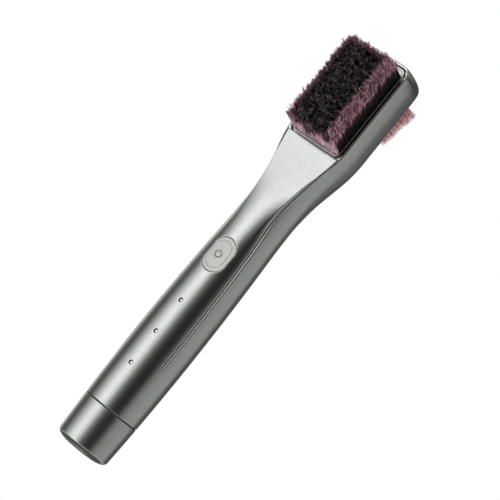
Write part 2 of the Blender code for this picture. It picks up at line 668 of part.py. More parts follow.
# ---------------------------------------------------------------- guides and carriers
RAIL_IN, RAIL_OUT = 14.3, 16.3
ROD_X = (208.0, 248.0)
FRONT_ROD_Z, REAR_ROD_Z = 5.3, -7.8
rod_bores = [as_cutter(cylinder("rod_bore_cutter_%d" % k, None, (x, 0, z), 1.3, 60.0, "Y", 16, collection=CUTTERS))
             for k, (x, z) in enumerate((x, z) for x in ROD_X for z in (FRONT_ROD_Z, REAR_ROD_Z))]
for name, s in (("left", 1), ("right", -1)):
    y0, y1 = sorted((s * RAIL_IN, s * RAIL_OUT))
    rail = box("guide_rail_" + name, chassis_black, 204.0, 253.0, y0, y1, FLOOR_Z + 0.4, 6.9)
    cut(rail, *rod_bores)
for name, z in (("front", FRONT_ROD_Z), ("rear", REAR_ROD_Z)):
    for tag, x in zip(("near", "far"), ROD_X):
        cylinder("%s_guide_rod_%s" % (name, tag), steel, (x, 0, z), 1.0, 32.0, "Y", 14)


def carrier(name, x0, x1, z0, z1, posts, post_end, socket_z):
    """Plate that slides across the head on two rods, with posts that carry the brush plate."""
    mid = ((x0 + x1) / 2, 0, (z0 + z1) / 2)
    ob = box(name, acetal, x0, x1, -12.0, 12.0, z0, z1, origin=mid)
    a, b = (z1 - 0.3, post_end) if post_end > z1 else (post_end, z0 + 0.3)
    for k, x in enumerate(posts):
        post = as_cutter(cylinder("%s_post_tool_%d" % (name, k), None, (x, 0, (a + b) / 2), POST_R, b - a,
                                  segments=20, collection=CUTTERS))
        cut(ob, post, operation="UNION")
    bores = [c for c, z in zip(rod_bores, (FRONT_ROD_Z, REAR_ROD_Z) * 2) if z0 < z < z1]
    cut(ob, *bores)
    s0, s1 = sorted(socket_z)
    cut(ob, as_cutter(box(name + "_socket_cutter", None, ROCKER_X - 3.0, ROCKER_X + 3.0, -1.75, 1.75, s0, s1,
                          collection=CUTTERS)))
    return ob


carrier("front_carrier", 204.0, 252.0, 3.7, 6.9, POSTS, 10.0, (3.0, 7.6))
carrier("rear_carrier", 204.0, 252.0, -9.4, -6.2, REAR_POSTS, -12.3, (-10.0, -5.6))

# ---------------------------------------------------------------- brushes
front_plate = prism("front_brush_plate", plate_grey, plate_outline(RECESS_X0 + 0.6, RECESS_X1 - 0.6, 16.6, 3.0),
                    RECESS_FLOOR + GAP, HEAD_TOP, origin=(229.6, 0, RECESS_FLOOR + GAP))
cut(front_plate, *[as_cutter(cylinder("front_socket_cutter_%d" % k, None, (x, 0, 9.3), POST_R + 0.3, 2.0, segments=20,
                                      collection=CUTTERS)) for k, x in enumerate(POSTS)])
rear_plate = prism("rear_brush_plate", plate_grey, plate_outline(REAR_X0 + 0.5, REAR_X1 - 0.5, 13.7, 3.4),
                   -HEAD_BACK - 0.1, REAR_FLOOR - GAP, origin=(239.9, 0, REAR_FLOOR - GAP))
cut(rear_plate, *[as_cutter(cylinder("rear_socket_cutter_%d" % k, None, (x, 0, REAR_FLOOR - 0.6), POST_R + 0.3, 2.0, segments=20,
                                     collection=CUTTERS)) for k, x in enumerate(REAR_POSTS)])


def bristle_block(name, mat, levels, origin, corner=3.0):
    """Closed block through rounded rectangles; each level is (x0, x1, half0, half1, z0, z1) from near to far end."""
    bm = bmesh.new()
    rings = []
    for x0, x1, h0, h1, z0, z1 in levels:
        ring = []
        for x, y in plate_outline(-1.0, 1.0, 1.0, corner / ((x1 - x0) / 2), n=3):
            t = (x + 1) / 2
            px = x0 + (x1 - x0) * t
            py = y * (h0 + (h1 - h0) * t)
            ring.append(bm.verts.new((px * MM, py * MM, (z0 + (z1 - z0) * t) * MM)))
        rings.append(ring)
    for a, b in zip(rings[:-1], rings[1:]):
        for i in range(len(a)):
            j = (i + 1) % len(a)
            bm.faces.new((a[i], a[j], b[j], b[i]))
    bm.faces.new(rings[0])
    bm.faces.new(rings[-1])
    return object_from(bm, name, mat, origin=origin)


FRONT_TIP, REAR_TIP = 29.9, -28.8
bristle_block("front_bristles", black_hair,
              [(202.3, 254.3, 15.6, 15.6, HEAD_TOP + GAP, HEAD_TOP + GAP),
               (202.4, 255.6, 15.9, 15.9, 18.5, 18.5),
               (203.0, 257.0, 15.8, 15.8, 25.0, 24.5),
               (204.2, 256.4, 14.6, 14.6, 28.4, 27.4),
               (206.5, 254.0, 12.3, 12.3, FRONT_TIP, FRONT_TIP - 1.2)], (229.6, 0, HEAD_TOP + GAP))
bristle_block("rear_bristles", pink_hair,
              [(228.2, 251.4, 12.6, 12.6, -HEAD_BACK - 0.4, -HEAD_BACK - 0.4),
               (227.4, 252.2, 13.8, 14.6, -19.0, -21.0),
               (227.0, 252.6, 14.8, 16.2, -23.8, REAR_TIP + 0.6),
               (227.8, 251.9, 14.0, 15.4, -24.4, REAR_TIP)], (239.9, 0, -HEAD_BACK - 0.4))

# ---------------------------------------------------------------- leads
wire("battery_lead_front", red_lead, eased([(108.3, 2.0, CELL_Z + 3.0), (109.2, 3.0, 2.8), (109.2, 4.2, 5.2),
                                            (109.0, 5.0, 7.5)], 4), 0.45)
wire("battery_lead_back", black_lead, eased([(39.5, 2.0, CELL_Z + 3.0), (38.9, 2.2, 3.4), (39.6, 2.6, 6.4),
                                             (41.2, 3.0, 8.4), (43.3, 3.0, 8.7)], 3), 0.45)
wire("motor_lead_left", red_lead, eased([(110.0, 6.4, SHAFT_Z + 3.0), (109.4, 7.0, 3.0), (109.6, 7.4, 5.4),
                                         (110.6, 7.6, 7.5)], 4), 0.45)
wire("motor_lead_right", black_lead, eased([(110.0, -6.4, SHAFT_Z + 3.0), (109.4, -7.0, 3.0), (109.6, -7.4, 5.4),
                                            (110.6, -7.6, 7.5)], 4), 0.45)
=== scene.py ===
"""Looks of the electric shoe brush: fine shells, button, brush hair, materials, light and camera.

Shapes are built in the construction frame of the brush (millimetres, x along the handle from the cap's flat end, y
across, z out of the front face) and brought into the row frame by PLACE.
"""
import json
import math

import bmesh
import bpy
import numpy as np
from mathutils import Matrix, Vector


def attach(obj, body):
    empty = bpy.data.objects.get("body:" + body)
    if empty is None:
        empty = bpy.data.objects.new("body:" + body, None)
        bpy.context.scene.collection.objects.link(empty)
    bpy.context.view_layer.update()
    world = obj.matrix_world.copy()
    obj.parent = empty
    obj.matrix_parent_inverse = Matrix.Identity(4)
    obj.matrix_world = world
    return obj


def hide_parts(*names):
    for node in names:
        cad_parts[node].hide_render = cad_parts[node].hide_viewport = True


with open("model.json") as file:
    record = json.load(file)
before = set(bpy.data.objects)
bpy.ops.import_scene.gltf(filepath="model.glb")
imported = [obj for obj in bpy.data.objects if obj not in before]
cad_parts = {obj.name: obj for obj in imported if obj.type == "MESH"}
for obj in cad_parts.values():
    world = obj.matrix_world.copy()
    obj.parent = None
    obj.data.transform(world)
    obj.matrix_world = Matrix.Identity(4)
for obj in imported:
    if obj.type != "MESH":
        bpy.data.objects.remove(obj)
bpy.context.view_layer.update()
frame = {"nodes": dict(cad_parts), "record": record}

NODES = frame["nodes"]

MM = 0.001
TILT = math.radians(3.24)
SHIFT = (-130.577, 0.0, 14.521)
PLACE = Matrix.Translation(Vector(SHIFT) * MM) @ Matrix.Rotation(-TILT, 4, "Y") @ Matrix.Scale(MM, 4)
PLACE_NP = np.array(PLACE)

# ---------------------------------------------------------------- driving sizes (mm), as in the solid model
LENGTH = 261.1
R_MAX, R_MAX_X, BARREL, FLAT = 17.5, 70.0, 3.3e-4, 0.92
SPLIT_Z = 10.2
SEAM_X, WALL = 25.85, 1.8
HEAD_HALF, HEAD_TOP, HEAD_BACK = 19.3, 10.9, 13.2
HEAD_CORNER, HEAD_BACK_ROUND = 5.9, 4.6
BELLY, BELLY_Z, BELLY_CORNER, END_BELLY = 1.8, -1.7, 1.4, 0.6
BELLY_X0, BELLY_X1 = 155.5, 212.0
NECK_HALF = 15.6
FLARE_X0, FLARE_X1 = 171.0, 206.0
FACE_X0, FACE_X1 = 148.0, 196.0
FLAT_X0, FLAT_X1, FACE_EDGE = 121.0, 197.0, 0.85
RECESS_X0, RECESS_X1, RECESS_HALF, RECESS_R, RECESS_FLOOR = 199.7, 259.5, 17.9, 3.6, 8.7
REAR_X0, REAR_X1, REAR_HALF, REAR_FLOOR = 223.4, 256.4, 15.0, -11.0
FLOOR_Z = -9.7
BUTTON_X = 123.5
LED_X = (51.9, 72.4, 92.7)
KEY = (16.0, 9.7)
SURROUND = (20.6, 13.2)
FRONT_TIP, REAR_TIP = 29.9, -28.8


# ---------------------------------------------------------------- body sections
def ease(t):
    t = min(max(t, 0.0), 1.0)
    return t * t * (3 - 2 * t)


def mix(a, b, t):
    return a + (b - a) * t


def barrel(x):
    return R_MAX - BARREL * (x - R_MAX_X) ** 2


def end_round(x, radius):
    d = x - (LENGTH - radius)
    return 0.0 if d <= 0 else radius - math.sqrt(max(radius * radius - d * d, 0.0))


def half_width(x):
    neck = NECK_HALF + 0.5 * ((barrel(x) - NECK_HALF) + math.sqrt((barrel(x) - NECK_HALF) ** 2 + 0.12))
    return neck + (HEAD_HALF - NECK_HALF) * ease((x - FLARE_X0) / (FLARE_X1 - FLARE_X0)) \
        - (neck - NECK_HALF) * ease((x - 185.0) / 20.0) - end_round(x, HEAD_CORNER)


def head_share(x):
    return ease((x - BELLY_X0) / (BELLY_X1 - BELLY_X0))


def belly(x):
    return BELLY * head_share(x) - BELLY_CORNER * max(0.0, (x - LENGTH + 10.0) / 10.0) ** 2


def end_lean(x, z):
    k = max(0.0, (x - (LENGTH - 25.0)) / 25.0) ** 2 * END_BELLY
    if z > BELLY_Z:
        return k * (1 - ((z - BELLY_Z) / (SPLIT_Z - BELLY_Z)) ** 2)
    return k * (1 - ((BELLY_Z - z) / (HEAD_BACK + BELLY_Z)) ** 4)


def back_depth(x):
    w = head_share(x)
    neck = FLAT * max(half_width(min(x, 168.0)), 0.1)
    return (1 - w) * neck + w * HEAD_BACK - end_round(x, HEAD_BACK_ROUND)


def face_blend(x):
    return ease((x - FACE_X0) / (FACE_X1 - FACE_X0))


def front_height(x):
    neck = FLAT * half_width(min(x, 168.0))
    return neck + (HEAD_TOP - neck) * face_blend(x) - end_round(x, 0.6)


def split_half(x):
    a = half_width(x)
    zs = FLAT * half_width(min(x, 168.0))
    oval = half_width(min(x, 168.0)) * math.sqrt(max(1 - (SPLIT_Z / zs) ** 2, 0.0))
    w = ease((x - 158.0) / (201.0 - 158.0))
    return (1 - w) * oval + w * (a - 0.05)


def back_power(x):
    return 2.0 + 2.5 * head_share(x)


def flat_share(x):
    return ease((x - FLAT_X0) / (FLAT_X1 - FLAT_X0))


def edge_reach(x):
    """Width over which the flattened front turns down to the joint."""
    return mix(3.4, FACE_EDGE, ease((x - 136.0) / 36.0))


def front_z(x, y):
    """Height of the front face over a point of the plan."""
    f, yc, w = front_height(x), split_half(x), flat_share(x)
    zc = min(SPLIT_Z, f - 0.02)
    t = min(abs(y) / yc, 1.0)
    dome = math.sqrt(max(f * f - (f * f - zc * zc) * t * t, 0.0))
    e = edge_reach(x) / yc
    u = (t - (1 - e)) / e
    k = 2.0 - 0.45 * ease((x - 124.0) / 16.0) * (1.0 - ease((x - 158.0) / 14.0))
    flat = f if u <= 0 else zc + (f - zc) * (1 - u ** k)
    return (1 - w) * dome + w * flat


def front_half(x, n=160):
    """(y, z) from the middle of the front to the split plane."""
    yc = split_half(x)
    return [(yc * math.sin(math.pi / 2 * i / n), front_z(x, yc * math.sin(math.pi / 2 * i / n))) for i in range(n + 1)]


def side_half(x, n_side=60, n_back=110):
    """(y, z) from the split plane down the side to the middle of the back."""
    a, yc, f = half_width(x) + belly(x), split_half(x), front_height(x)
    z0, b, n = BELLY_Z * head_share(x), back_depth(x), back_power(x)
    zc = min(SPLIT_Z, f - 0.02)
    pts = []
    for i in range(n_side + 1):
        s = 1 - i / n_side
        pts.append((math.sqrt(max(a * a - (a * a - yc * yc) * s * s, 0.0)), z0 + (zc - z0) * s))
    for i in range(1, n_back + 1):
        u = math.pi / 2 * i / n_back
        pts.append((a * max(math.cos(u), 0.0) ** (2 / n), z0 - (b + z0) * math.sin(u) ** (2 / n)))
    pts[-1] = (0.0, -b)
    return pts


def split_level(x):
    """Height of the joint between cover and casing."""
    return mix(9.6, 10.6, ease((x - 134.0) / 30.0)) - 0.35 * ease((x - 166.0) / 12.0)


def rim_share(x):
    """Towards the head the joint leaves the corner and runs over the face to the recess."""
    return ease((x - 176.0) / 22.5)


def outline(x):
    """(y, z) from the middle of the front round the side to the middle of the back."""
    return front_half(x) + side_half(x)[1:]


# ---------------------------------------------------------------- polyline helpers
def resample(pts, s_values):
    p = np.array(pts, float)
    s = np.concatenate([[0.0], np.cumsum(np.hypot(*np.diff(p, axis=0).T))])
    return [tuple(v) for v in np.stack([np.interp(s_values, s, p[:, k]) for k in range(p.shape[1])], axis=1)], s[-1]


def arc_at(pts, level, axis=1):
    """Arc length at which the polyline first reaches a value of the given coordinate."""
    s = 0.0
    for a, b in zip(pts[:-1], pts[1:]):
        d = math.dist(a, b)
        if (a[axis] - level) * (b[axis] - level) <= 0 and a[axis] != b[axis]:
            return s + d * (level - a[axis]) / (b[axis] - a[axis])
        s += d
    return s


def bezier(a, c, b, n):
    """n points from a to b, both ends included, rounding off the corner c."""
    out = []
    for i in range(n):
        t = i / (n - 1)
        out.append(tuple((1 - t) ** 2 * p + 2 * t * (1 - t) * q + t * t * r for p, q, r in zip(a, c, b)))
    return out


def smooth_profile(points, n=8):
    """Points of a smooth curve through `points`."""
    out = []
    p = [points[0], *points, points[-1]]
    for i in range(1, len(p) - 2):
        for k in range(n):
            t = k / n
            out.append(tuple(0.5 * (2 * b + (c - a) * t + (2 * a - 5 * b + 4 * c - d) * t * t
                                    + (3 * b - a - 3 * c + d) * t ** 3)
                             for a, b, c, d in zip(p[i - 1], p[i], p[i + 1], p[i + 2])))
    out.append(tuple(points[-1]))
    return out


# ---------------------------------------------------------------- mesh helpers
def new_object(name, verts, faces, mat, body, replaces=(), sharp=32.0, fix_normals=True, place=True):
    v = np.array(verts, float)
    if place:
        v = v @ PLACE_NP[:3, :3].T + PLACE_NP[:3, 3]
    me = bpy.data.meshes.new(name)
    me.from_pydata(v.tolist(), [], [list(f) for f in faces])
    me.update()
    if fix_normals:
        bm = bmesh.new()
        bm.from_mesh(me)
        bmesh.ops.recalc_face_normals(bm, faces=bm.faces)
        bm.to_mesh(me)
        bm.free()
    ob = bpy.data.objects.new(name, me)
    bpy.context.scene.collection.objects.link(ob)
    finish_object(ob, mat, body, replaces, sharp)
    return ob


def finish_object(ob, mat, body=None, replaces=(), sharp=32.0):
    me = ob.data
    if mat is not None:
        me.materials.clear()
        me.materials.append(mat)
    me.shade_smooth()
    if sharp is not None:
        me.set_sharp_from_angle(angle=math.radians(sharp))
    if body:
        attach(ob, body)
    if replaces:
        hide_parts(*replaces)


def tool_object(name, verts, faces):
    """Closed cutting tool, used once and removed."""
    me = bpy.data.meshes.new(name)
    v = np.array(verts, float) @ PLACE_NP[:3, :3].T + PLACE_NP[:3, 3]
    me.from_pydata(v.tolist(), [], [list(f) for f in faces])
    bm = bmesh.new()
    bm.from_mesh(me)
    bmesh.ops.recalc_face_normals(bm, faces=bm.faces)
    bm.to_mesh(me)
    bm.free()
    ob = bpy.data.objects.new(name, me)
    bpy.context.scene.collection.objects.link(ob)
    return ob


def carve(ob, tools, operation="DIFFERENCE", sharp=32.0):
    for t in tools:
        b = ob.modifiers.new(t.name, "BOOLEAN")
        b.operation = operation
        b.solver = "MANIFOLD"
        b.object = t
    deps = bpy.context.evaluated_depsgraph_get()
    me = bpy.data.meshes.new_from_object(ob.evaluated_get(deps))
    ob.modifiers.clear()
    old = ob.data
    mats = list(old.materials)
    ob.data = me
    bpy.data.meshes.remove(old)
    me.name = ob.name
    me.materials.clear()
    for m in mats:
        me.materials.append(m)
    me.shade_smooth()
    me.set_sharp_from_angle(angle=math.radians(sharp))
    for t in tools:
        d = t.data
        bpy.data.objects.remove(t)
        bpy.data.meshes.remove(d)
    return ob


def tube_faces(n_rings, n_ring, closed_path=False, closed_ring=True, start=0):
    faces = []
    for r in range(n_rings if closed_path else n_rings - 1):
        a, b = r * n_ring, ((r + 1) % n_rings) * n_ring
        for i in range(n_ring if closed_ring else n_ring - 1):
            j = (i + 1) % n_ring
            faces.append((start + a + i, start + a + j, start + b + j, start + b + i))
    return faces


# ---------------------------------------------------------------- material helpers
def node_tree(name):
    m = bpy.data.materials.new(name)
    m.use_nodes = True
    t = m.node_tree
    return m, t, t.nodes["Principled BSDF"]


def noise(t, scale, detail=3.0, rough=0.5, vector=None, distortion=0.0):
    n = t.nodes.new("ShaderNodeTexNoise")
    n.inputs["Scale"].default_value = scale
    n.inputs["Detail"].default_value = detail
    n.inputs["Roughness"].default_value = rough
    n.inputs["Distortion"].default_value = distortion
    if vector is not None:
        t.links.new(vector, n.inputs["Vector"])
    return n.outputs["Fac"]


def coords(t, scale=(1.0, 1.0, 1.0)):
    tc = t.nodes.new("ShaderNodeTexCoord")
    mp = t.nodes.new("ShaderNodeMapping")
    mp.inputs["Scale"].default_value = scale
    t.links.new(tc.outputs["Object"], mp.inputs["Vector"])
    return mp.outputs["Vector"]


def ramp(t, fac, stops):
    r = t.nodes.new("ShaderNodeValToRGB")
    el = r.color_ramp.elements
    while len(el) > 1:
        el.remove(el[-1])
    el[0].position, el[0].color = stops[0][0], (*stops[0][1], 1.0)
    for pos, col in stops[1:]:
        e = el.new(pos)
        e.color = (*col, 1.0)
    t.links.new(fac, r.inputs["Fac"])
    return r.outputs["Color"]


def remap(t, fac, lo, hi, a=0.3, b=0.7):
    m = t.nodes.new("ShaderNodeMapRange")
    m.inputs["From Min"].default_value = a
    m.inputs["From Max"].default_value = b
    m.inputs["To Min"].default_value = lo
    m.inputs["To Max"].default_value = hi
    t.links.new(fac, m.inputs["Value"])
    return m.outputs["Result"]


def bump(t, height, strength, distance, normal=None):
    b = t.nodes.new("ShaderNodeBump")
    b.inputs["Strength"].default_value = strength
    b.inputs["Distance"].default_value = distance
    t.links.new(height, b.inputs["Height"])
    if normal is not None:
        t.links.new(normal, b.inputs["Normal"])
    return b.outputs["Normal"]


def shade(c, k):
    return tuple(min(v * k, 1.0) for v in c)


def surface(name, base, rough, metallic=0.0, vary=0.06, blotch=60.0, grain=2500.0, grain_bump=0.15,
            grain_size=0.00002, rough_vary=0.05, specular=0.5, stretch=(1.0, 1.0, 1.0), coat=0.0, sheen=0.0):
    """Moulded, painted or machined surface: slow colour drift, fine grain in relief, uneven gloss."""
    m, t, p = node_tree(name)
    v = coords(t, stretch)
    slow = noise(t, blotch, 4.0, 0.55, v)
    fine = noise(t, grain, 3.0, 0.6, v)
    t.links.new(ramp(t, slow, [(0.25, shade(base, 1 - vary)), (0.75, shade(base, 1 + vary))]), p.inputs["Base Color"])
    t.links.new(remap(t, fine, rough - rough_vary, rough + rough_vary), p.inputs["Roughness"])
    p.inputs["Metallic"].default_value = metallic
    p.inputs["Specular IOR Level"].default_value = specular
    if coat:
        p.inputs["Coat Weight"].default_value = coat
        p.inputs["Coat Roughness"].default_value = 0.08
    if sheen:
        p.inputs["Sheen Weight"].default_value = sheen
        p.inputs["Sheen Roughness"].default_value = 0.4
    t.links.new(bump(t, fine, grain_bump, grain_size), p.inputs["Normal"])
    return m


def metallic_paint(name, base, rough):
    """Satin paint with fine metal flake."""
    m, t, p = node_tree(name)
    v = coords(t)
    flake = t.nodes.new("ShaderNodeTexVoronoi")
    flake.inputs["Scale"].default_value = 3000.0
    t.links.new(v, flake.inputs["Vector"])
    flake_level = t.nodes.new("ShaderNodeSeparateColor")
    t.links.new(flake.outputs["Color"], flake_level.inputs["Color"])
    slow = noise(t, 22.0, 3.0, 0.5, v)
    fine = noise(t, 3800.0, 2.0, 0.5, v)
    tone = t.nodes.new("ShaderNodeMix")
    tone.data_type = "RGBA"
    t.links.new(remap(t, slow, 0.0, 1.0), tone.inputs["Factor"])
    tone.inputs["A"].default_value = (*shade(base, 0.975), 1.0)
    tone.inputs["B"].default_value = (*shade(base, 1.025), 1.0)
    fleck = t.nodes.new("ShaderNodeMix")
    fleck.data_type = "RGBA"
    fleck.blend_type = "MULTIPLY"
    fleck.inputs["Factor"].default_value = 1.0
    t.links.new(tone.outputs["Result"], fleck.inputs["A"])
    t.links.new(ramp(t, flake_level.outputs["Red"], [(0.0, (0.90, 0.90, 0.90)), (0.5, (1.0, 1.0, 1.0)), (1.0, (1.10, 1.10, 1.10))]),
                fleck.inputs["B"])
    t.links.new(fleck.outputs["Result"], p.inputs["Base Color"])
    t.links.new(remap(t, fine, rough - 0.03, rough + 0.03), p.inputs["Roughness"])
    p.inputs["Metallic"].default_value = 1.0
    n1 = bump(t, flake_level.outputs["Green"], 0.04, 0.00001)
    t.links.new(bump(t, noise(t, 2600.0, 2.0, 0.5, v), 0.03, 0.00001, n1), p.inputs["Normal"])
    return m


def hair(name, root, mid, tip, change=(0.35, 0.7), rough=0.42, jitter=0.25, specular=0.5, sheen=0.0, glint=(1.0, 1.6),
         ragged=0.22):
    """Fine bristle: colour runs from root to tip, no two strands quite alike."""
    m, t, p = node_tree(name)
    lo, hi = glint
    along = t.nodes.new("ShaderNodeAttribute")
    along.attribute_name = "along"
    lot = t.nodes.new("ShaderNodeAttribute")
    lot.attribute_name = "lot"
    wave = noise(t, 900.0, 2.0, 0.5, coords(t))
    start = t.nodes.new("ShaderNodeMath")           # ragged place of the colour change
    start.operation = "MULTIPLY_ADD"
    t.links.new(lot.outputs["Fac"], start.inputs[0])
    start.inputs[1].default_value = ragged
    start.inputs[2].default_value = -ragged / 2
    at = t.nodes.new("ShaderNodeMath")
    at.operation = "ADD"
    t.links.new(along.outputs["Fac"], at.inputs[0])
    t.links.new(start.outputs[0], at.inputs[1])
    col = ramp(t, at.outputs[0], [(0.0, root), (change[0], root), (change[1], mid), (1.0, tip)])
    lum = t.nodes.new("ShaderNodeHueSaturation")
    t.links.new(col, lum.inputs["Color"])
    # most strands differ a little; the last share of them is much paler: painted glints that stand in for highlights on
    # the strands
    pick = t.nodes.new("ShaderNodeMath")
    pick.operation = "FRACT"
    spread = t.nodes.new("ShaderNodeMath")
    spread.operation = "MULTIPLY"
    spread.inputs[1].default_value = 7.31
    t.links.new(lot.outputs["Fac"], spread.inputs[0])
    t.links.new(spread.outputs[0], pick.inputs[0])
    pale = remap(t, pick.outputs[0], 0.0, hi - 1.0, lo, 1.0)
    value = t.nodes.new("ShaderNodeMath")
    value.operation = "ADD"
    t.links.new(remap(t, lot.outputs["Fac"], 1 - jitter, 1 + jitter, 0.0, 1.0), value.inputs[0])
    t.links.new(pale, value.inputs[1])
    t.links.new(value.outputs[0], lum.inputs["Value"])
    t.links.new(lum.outputs["Color"], p.inputs["Base Color"])
    t.links.new(remap(t, wave, rough - 0.08, rough + 0.08), p.inputs["Roughness"])
    p.inputs["Specular IOR Level"].default_value = specular
    if sheen:
        p.inputs["Sheen Weight"].default_value = sheen
        p.inputs["Sheen Roughness"].default_value = 0.35
    t.links.new(bump(t, wave, 0.15, 0.00003), p.inputs["Normal"])
    return m


def bed_hair(name, dark, light, rough=0.6):
    """Packed hair deep in the brush: fine streaks along the bristles."""
    m, t, p = node_tree(name)
    v = coords(t, (1.0, 1.0, 0.06))
    streak = noise(t, 2600.0, 3.0, 0.6, v)
    t.links.new(ramp(t, streak, [(0.35, dark), (0.7, light)]), p.inputs["Base Color"])
    t.links.new(remap(t, streak, rough - 0.1, rough + 0.1), p.inputs["Roughness"])
    t.links.new(bump(t, streak, 0.6, 0.0002), p.inputs["Normal"])
    return m


def board_material(name):
    """Green laminate with paler tracks."""
    m, t, p = node_tree(name)
    v = coords(t)
    brick = t.nodes.new("ShaderNodeTexBrick")
    brick.inputs["Scale"].default_value = 260.0
    brick.inputs["Mortar Size"].default_value = 0.035
    brick.inputs["Color1"].default_value = (0.02, 0.13, 0.06, 1.0)
    brick.inputs["Color2"].default_value = (0.025, 0.15, 0.07, 1.0)
    brick.inputs["Mortar"].default_value = (0.06, 0.26, 0.12, 1.0)
    t.links.new(v, brick.inputs["Vector"])
    t.links.new(brick.outputs["Color"], p.inputs["Base Color"])
    fine = noise(t, 3000.0, 2.0, 0.5, v)
    t.links.new(remap(t, fine, 0.36, 0.5), p.inputs["Roughness"])
    t.links.new(bump(t, brick.outputs["Fac"], 0.3, 0.00003), p.inputs["Normal"])
    return m


PAINT_BASE = (0.60, 0.605, 0.60)
paint = metallic_paint("satin_paint", PAINT_BASE, 0.20)
paint_cap = metallic_paint("cap_paint", shade(PAINT_BASE, 0.96), 0.21)
silicone = surface("button_silicone", (0.385, 0.38, 0.368), 0.5, vary=0.03, blotch=90.0, grain=2600.0,
                   grain_bump=0.22, grain_size=0.00003, specular=0.35)
silicone_key = surface("key_silicone", (0.385, 0.38, 0.366), 0.5, vary=0.03, blotch=90.0, grain=2600.0,
                       grain_bump=0.22, grain_size=0.00003, specular=0.35)
symbol_grey = surface("symbol_grey", (0.07, 0.068, 0.066), 0.55, vary=0.08, grain=3000.0)
lens = surface("light_window", (0.80, 0.82, 0.82), 0.16, vary=0.05, grain=1500.0, grain_bump=0.05,
               rough_vary=0.03, specular=0.7, coat=0.6)
plate_grey = surface("brush_plate", (0.62, 0.62, 0.62), 0.16, metallic=1.0, vary=0.03, blotch=120.0, grain=2200.0,
                     grain_bump=0.12, grain_size=0.00002, specular=0.5, rough_vary=0.03)
# glint: from which share of strands on they are painted paler, and how much; these pale strands are painted highlights
black_hair = hair("front_hair_black", (0.002, 0.0018, 0.002), (0.005, 0.004, 0.0045), (0.016, 0.013, 0.014),
                  change=(0.62, 0.95), rough=0.30, jitter=0.9, specular=0.30, glint=(0.35, 11.0))
# the burgundy hair in three copies: lit for the long side facing the camera, shaded for the far side and far end, paler
# for the near end; painted light and painted shade
burgundy_hair_lit = hair("front_hair_burgundy_lit", (0.004, 0.003, 0.0035), (0.074, 0.031, 0.039), (0.37, 0.20, 0.235),
                  change=(0.59, 0.94), rough=0.42, jitter=0.5, specular=0.4, glint=(0.8, 2.1), ragged=0.42)
burgundy_hair_shaded = hair("front_hair_burgundy_shaded", (0.006, 0.004, 0.005), (0.055, 0.019, 0.028), (0.14, 0.056, 0.077),
                 change=(0.42, 0.75), rough=0.42, jitter=0.6, specular=0.4, glint=(0.6, 2.6), ragged=0.4)
burgundy_hair_near_lit = hair("front_hair_burgundy_near_lit", (0.33, 0.235, 0.255), (0.63, 0.41, 0.455), (0.26, 0.132, 0.162),
                 change=(0.20, 0.60), rough=0.42, jitter=0.4, specular=0.4, glint=(0.7, 2.2), ragged=0.3)
pink_hair = hair("rear_hair", (0.20, 0.078, 0.10), (0.40, 0.185, 0.205), (0.66, 0.43, 0.43),
                 change=(0.3, 0.7), rough=0.55, jitter=0.22, specular=0.2, glint=(0.8, 1.3), ragged=0.25)
front_bed = bed_hair("front_hair_bed", (0.002, 0.0015, 0.002), (0.010, 0.007, 0.008))
rear_bed = bed_hair("rear_hair_bed", (0.22, 0.09, 0.11), (0.38, 0.17, 0.20))

chassis_black = surface("chassis_plastic", (0.035, 0.035, 0.038), 0.46, vary=0.15, grain=1800.0, grain_bump=0.3,
                        grain_size=0.00004)
rubber = surface("seal_rubber", (0.018, 0.018, 0.018), 0.62, vary=0.15, grain=2200.0, grain_bump=0.3, specular=0.3)
steel = surface("bright_steel", (0.58, 0.58, 0.59), 0.24, metallic=1.0, vary=0.05, grain=2600.0, grain_bump=0.12,
                rough_vary=0.08, stretch=(0.12, 1.0, 1.0))
brass = surface("contact_brass", (0.72, 0.52, 0.24), 0.3, metallic=1.0, vary=0.08, grain=2000.0, grain_bump=0.12)
board = board_material("circuit_board")
chip = surface("chip_black", (0.025, 0.025, 0.026), 0.5, vary=0.1, grain=3200.0, grain_bump=0.3)
cell_wrap = surface("cell_wrap", (0.07, 0.20, 0.38), 0.34, vary=0.08, blotch=50.0, grain=900.0, grain_bump=0.12,
                    grain_size=0.00003, stretch=(0.3, 1.0, 1.0))
white_part = surface("white_plastic", (0.78, 0.78, 0.76), 0.42, vary=0.03, grain=1800.0, grain_bump=0.18)
acetal = surface("natural_acetal", (0.82, 0.81, 0.77), 0.36, vary=0.03, grain=1500.0, grain_bump=0.15)
red_lead = surface("red_lead", (0.50, 0.03, 0.025), 0.42, vary=0.08, grain=1600.0, grain_bump=0.15)
black_lead = surface("black_lead", (0.02, 0.02, 0.02), 0.45, vary=0.1, grain=1600.0, grain_bump=0.15)

SLOT_MATERIAL = {
    "satin_paint": paint, "cap_paint": paint_cap, "button_silicone": silicone, "key_silicone": silicone_key,
    "light_window": lens, "brush_plate": plate_grey, "front_hair": black_hair, "rear_hair": pink_hair,
    "chassis_plastic": chassis_black, "seal_rubber": rubber, "bright_steel": steel, "contact_brass": brass,
    "circuit_board": board, "chip_black": chip, "cell_wrap": cell_wrap, "white_plastic": white_part,
    "natural_acetal": acetal, "red_lead": red_lead, "black_lead": black_lead,
}
for part in frame["record"]["subparts"]:
    ob = NODES.get(part["node"])
    if ob is not None:
        ob.data.materials.clear()
        ob.data.materials.append(SLOT_MATERIAL[part["material_slot"]])

# ---------------------------------------------------------------- shells
STEP = 1.0
GROOVE = 0.19                           # half of the gap between cover and casing
COVER_EDGE, CASING_EDGE = 1.40, 1.00    # how far its edges reach into the surfaces
PROUD = 0.15                            # the casing's top edge stands out this much


def groove(x):
    """The joint closes up towards the end cap."""
    k = ease((x - 47.0) / 15.0)
    cover = mix(COVER_EDGE, 0.60, ease((x - 150.0) / 26.0))
    return 0.012 + (GROOVE * (1 - 0.55 * rim_share(x)) - 0.012) * k, 0.05 + (cover - 0.05) * k, 0.05 + (CASING_EDGE - 0.05) * k, \
        PROUD * k * (1 + ease((x - 145.0) / 18.0))


